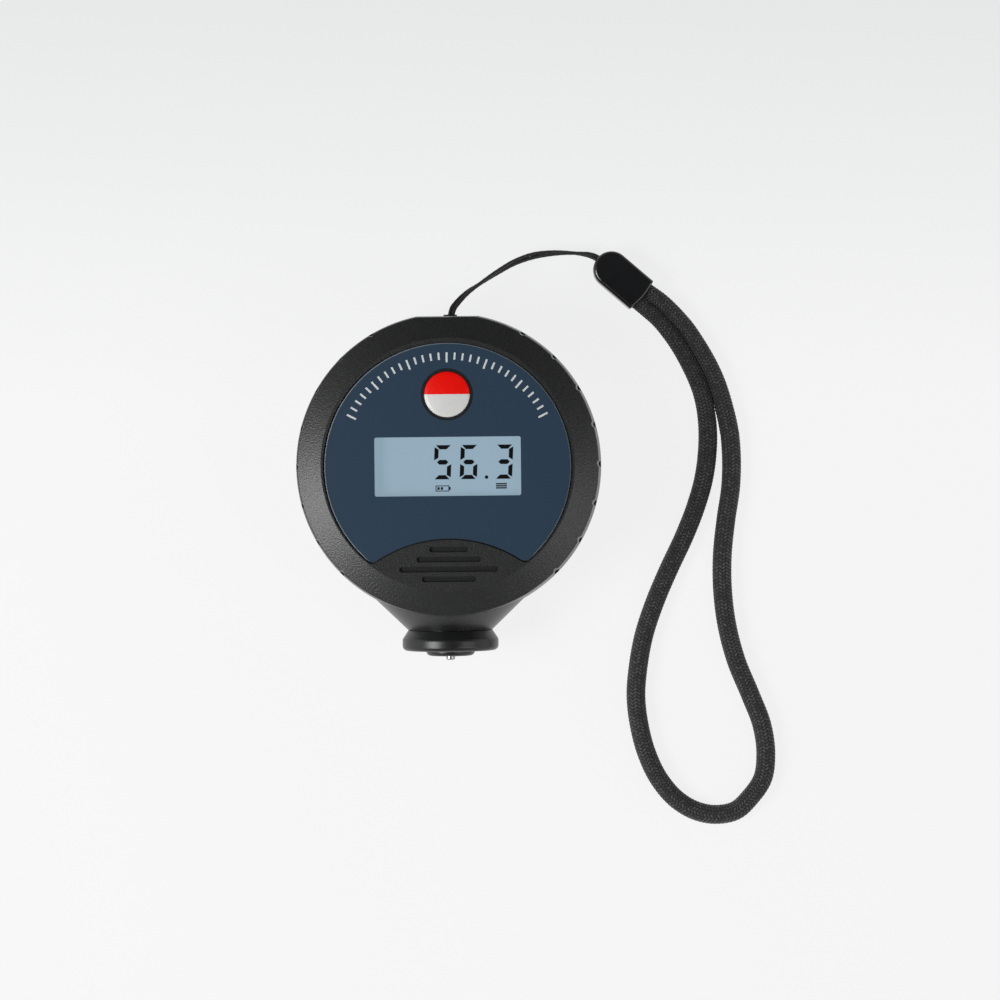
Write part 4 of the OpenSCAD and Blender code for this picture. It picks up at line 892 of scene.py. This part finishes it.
# Return spring and lead of the probe, which in the real gauge give way as the probe is pushed in
PROBE_AXIS_Z = 15.0
SPRING_FLOOR, SPRING_TOP = 22.55, 31.0
SPRING_R, SPRING_WIRE, SPRING_TURNS = 4.675, 0.6, 5
SPRING_STEPS = 24
SPRING_PLAY = 0.05
SPRING_ROUND = 3
LEAD_D = 1.4
LEAD_SKIP = 4
LEAD_ROUND = 4
LEAD_ROUTE = [(0, -32.6, 15), (0, -22.55, 15), (0, -21.05, 15), (0, -20.15, 15.2), (0, -19.02, 16.6),
              (0, -18.25, 18.4), (0, -17.35, 19.5), (0, -15.9, 19.5)]

spring_turn = np.linspace(0, 2 * np.pi * SPRING_TURNS, SPRING_STEPS * SPRING_TURNS + 1)
spring_run = np.linspace(SPRING_FLOOR + SPRING_WIRE / 2 + SPRING_PLAY,
                         SPRING_TOP - SPRING_WIRE / 2 - SPRING_PLAY, len(spring_turn))
spring_line = np.stack([SPRING_R * np.cos(spring_turn), -spring_run,
                        PROBE_AXIS_Z + SPRING_R * np.sin(spring_turn)], axis=1)


def wire_tube(name, line, diameter, roundness):
    """A plain round wire along a line of points, closed at both ends."""
    path = bpy.data.curves.new(name, "CURVE")
    path.dimensions = "3D"
    path.bevel_depth = diameter / 2 * MM
    path.bevel_resolution = roundness
    path.use_fill_caps = True
    run = path.splines.new("POLY")
    run.points.add(len(line) - 1)
    for point, at in zip(run.points, line):
        point.co = (*(at * MM), 1)
    made = bpy.data.objects.new(name, path)
    scene.collection.objects.link(made)
    hold(made)
    bpy.ops.object.convert(target="MESH")
    bpy.ops.object.shade_smooth()
    return bpy.context.object


return_spring = wire_tube("probe_return_spring", spring_line, SPRING_WIRE, SPRING_ROUND)
wear(return_spring, steel_plated)
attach(return_spring, "case")
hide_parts("probe_spring")
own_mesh(return_spring)
probe_wire = wire_tube("probe_wire", smooth_route(LEAD_ROUTE)[::LEAD_SKIP], LEAD_D, LEAD_ROUND)
wear(probe_wire, lead_pvc)
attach(probe_wire, "case")
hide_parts("probe_lead")
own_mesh(probe_wire)

# Face film: the solid with the round stretch of its cut edge broken by a fine bevel
FILM_BEVEL = 0.2
FILM_AT = Vector((0, -0.35))
FILM_R = max((v.co.xy / MM - FILM_AT).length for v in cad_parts["faceplate"].data.vertices)
FILM_NEAR = 0.01


def on_round_edge(at):
    """Whether a point of the film lies on the round stretch of its upper edge."""
    return at.z > FACE_TOP - FILM_NEAR and (at.xy - FILM_AT).length > FILM_R - FILM_NEAR


film_piece = merged_copy("faceplate", "face_film")
bevel_where(film_piece, on_round_edge, FILM_BEVEL, segments=1)
hold(film_piece)
bpy.ops.object.shade_flat()
wear(film_piece, film_blue)
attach(film_piece, "case")
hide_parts("faceplate")

# Floor: a plain pale sheet, a little greyer towards the strap's side
FLOOR_HALF = 8000.0
FLOOR_Z = -0.05
FLOOR_FADE_Y = (15.0, 105.0)
FLOOR_GLOW = 0.9
begin()
bpy.ops.mesh.primitive_plane_add(size=2 * FLOOR_HALF * MM, location=(0, 0, FLOOR_Z * MM))
floor = bpy.context.object
floor.name = "floor"
paper, tree, shader, place = new_material("pale_paper_floor", {"Roughness": 0.9, "Specular IOR Level": 0.1})
axes = add(tree, "ShaderNodeSeparateXYZ", links={"Vector": place["Object"]})
fade = add(tree, "ShaderNodeMapRange",
           {"From Min": FLOOR_FADE_Y[0] * MM, "From Max": FLOOR_FADE_Y[1] * MM},
           {"Value": axes.outputs["Y"]})
tone = add(tree, values={6: linear("#f7f7f7"), 7: linear("#e9ebeb")}, links={0: fade.outputs["Result"]},
           **BLEND)
tree.links.new(tone.outputs[2], shader.inputs["Base Color"])

# Seen directly, in a reflection or through glass, most of the sheet's brightness is its own, so the
# shadow on it is faint
glow = add(tree, "ShaderNodeEmission", links={"Color": tone.outputs[2]})
rays = add(tree, "ShaderNodeLightPath").outputs
mirrored = add(tree, "ShaderNodeMath", links={0: rays["Is Camera Ray"], 1: rays["Is Glossy Ray"]},
               operation="MAXIMUM")
seen = add(tree, "ShaderNodeMath", links={0: mirrored.outputs["Value"], 1: rays["Is Transmission Ray"]},
           operation="MAXIMUM")
share = add(tree, "ShaderNodeMath", {1: FLOOR_GLOW}, {0: seen.outputs["Value"]}, operation="MULTIPLY")
sheet = add(tree, "ShaderNodeMixShader", links={0: share.outputs["Value"], 1: shader.outputs["BSDF"],
                                                2: glow.outputs["Emission"]})
tree.links.new(sheet.outputs["Shader"], tree.nodes["Material Output"].inputs["Surface"])
wear(floor, paper)

# Light: pale walls at both sides that darken overhead and towards the ends, and three large soft lamps
WALL_LIGHT, OVERHEAD_LIGHT = 1.1, 0.18
WALL_TOP = (0.05, 0.65)
END_SHARE = 0.25
LAMP_AWAY = 0.7

world = bpy.data.worlds.new("studio")
scene.world = world
world.use_nodes = True
tree = world.node_tree
tree.nodes.clear()
around = add(tree, "ShaderNodeTexCoord")
axes = add(tree, "ShaderNodeSeparateXYZ", links={"Vector": around.outputs["Generated"]})
walls = add(tree, "ShaderNodeMapRange", {"From Min": WALL_TOP[0], "From Max": WALL_TOP[1],
                                         "To Min": WALL_LIGHT, "To Max": OVERHEAD_LIGHT},
            {"Value": axes.outputs["Z"]}, interpolation_type="SMOOTHSTEP")
sideways = add(tree, "ShaderNodeMath", links={0: axes.outputs["X"]}, operation="ABSOLUTE")
side_share = add(tree, "ShaderNodeMapRange", {"To Min": END_SHARE, "To Max": 1.0},
                 {"Value": sideways.outputs["Value"]})
room = add(tree, "ShaderNodeMath", links={0: walls.outputs["Result"], 1: side_share.outputs["Result"]},
           operation="MULTIPLY")
sky = add(tree, "ShaderNodeBackground", links={"Color": room.outputs["Value"]})
add(tree, "ShaderNodeOutputWorld", links={"Surface": sky.outputs["Background"]})


def soft_lamp(name, azimuth, zenith, size, power):
    """A square lamp aimed at the gauge: angles round it and down from overhead, metres across, watts."""
    lamp = bpy.data.lights.new(name, "AREA")
    lamp.shape = "SQUARE"
    lamp.size = size
    lamp.energy = power
    made = bpy.data.objects.new(name, lamp)
    turn, fall = math.radians(azimuth), math.radians(zenith)
    away = Vector((math.sin(fall) * math.cos(turn), math.sin(fall) * math.sin(turn), math.cos(fall)))
    made.location = LAMP_AWAY * away
    made.rotation_euler = away.to_track_quat("Z", "Y").to_euler()
    scene.collection.objects.link(made)


soft_lamp("lamp_left", 196, 41, 0.3, 3.8)
soft_lamp("lamp_front", 270, 40, 0.6, 0.12)
soft_lamp("lamp_right", -24, 44, 0.4, 1.05)
scene.view_settings.view_transform = "Standard"
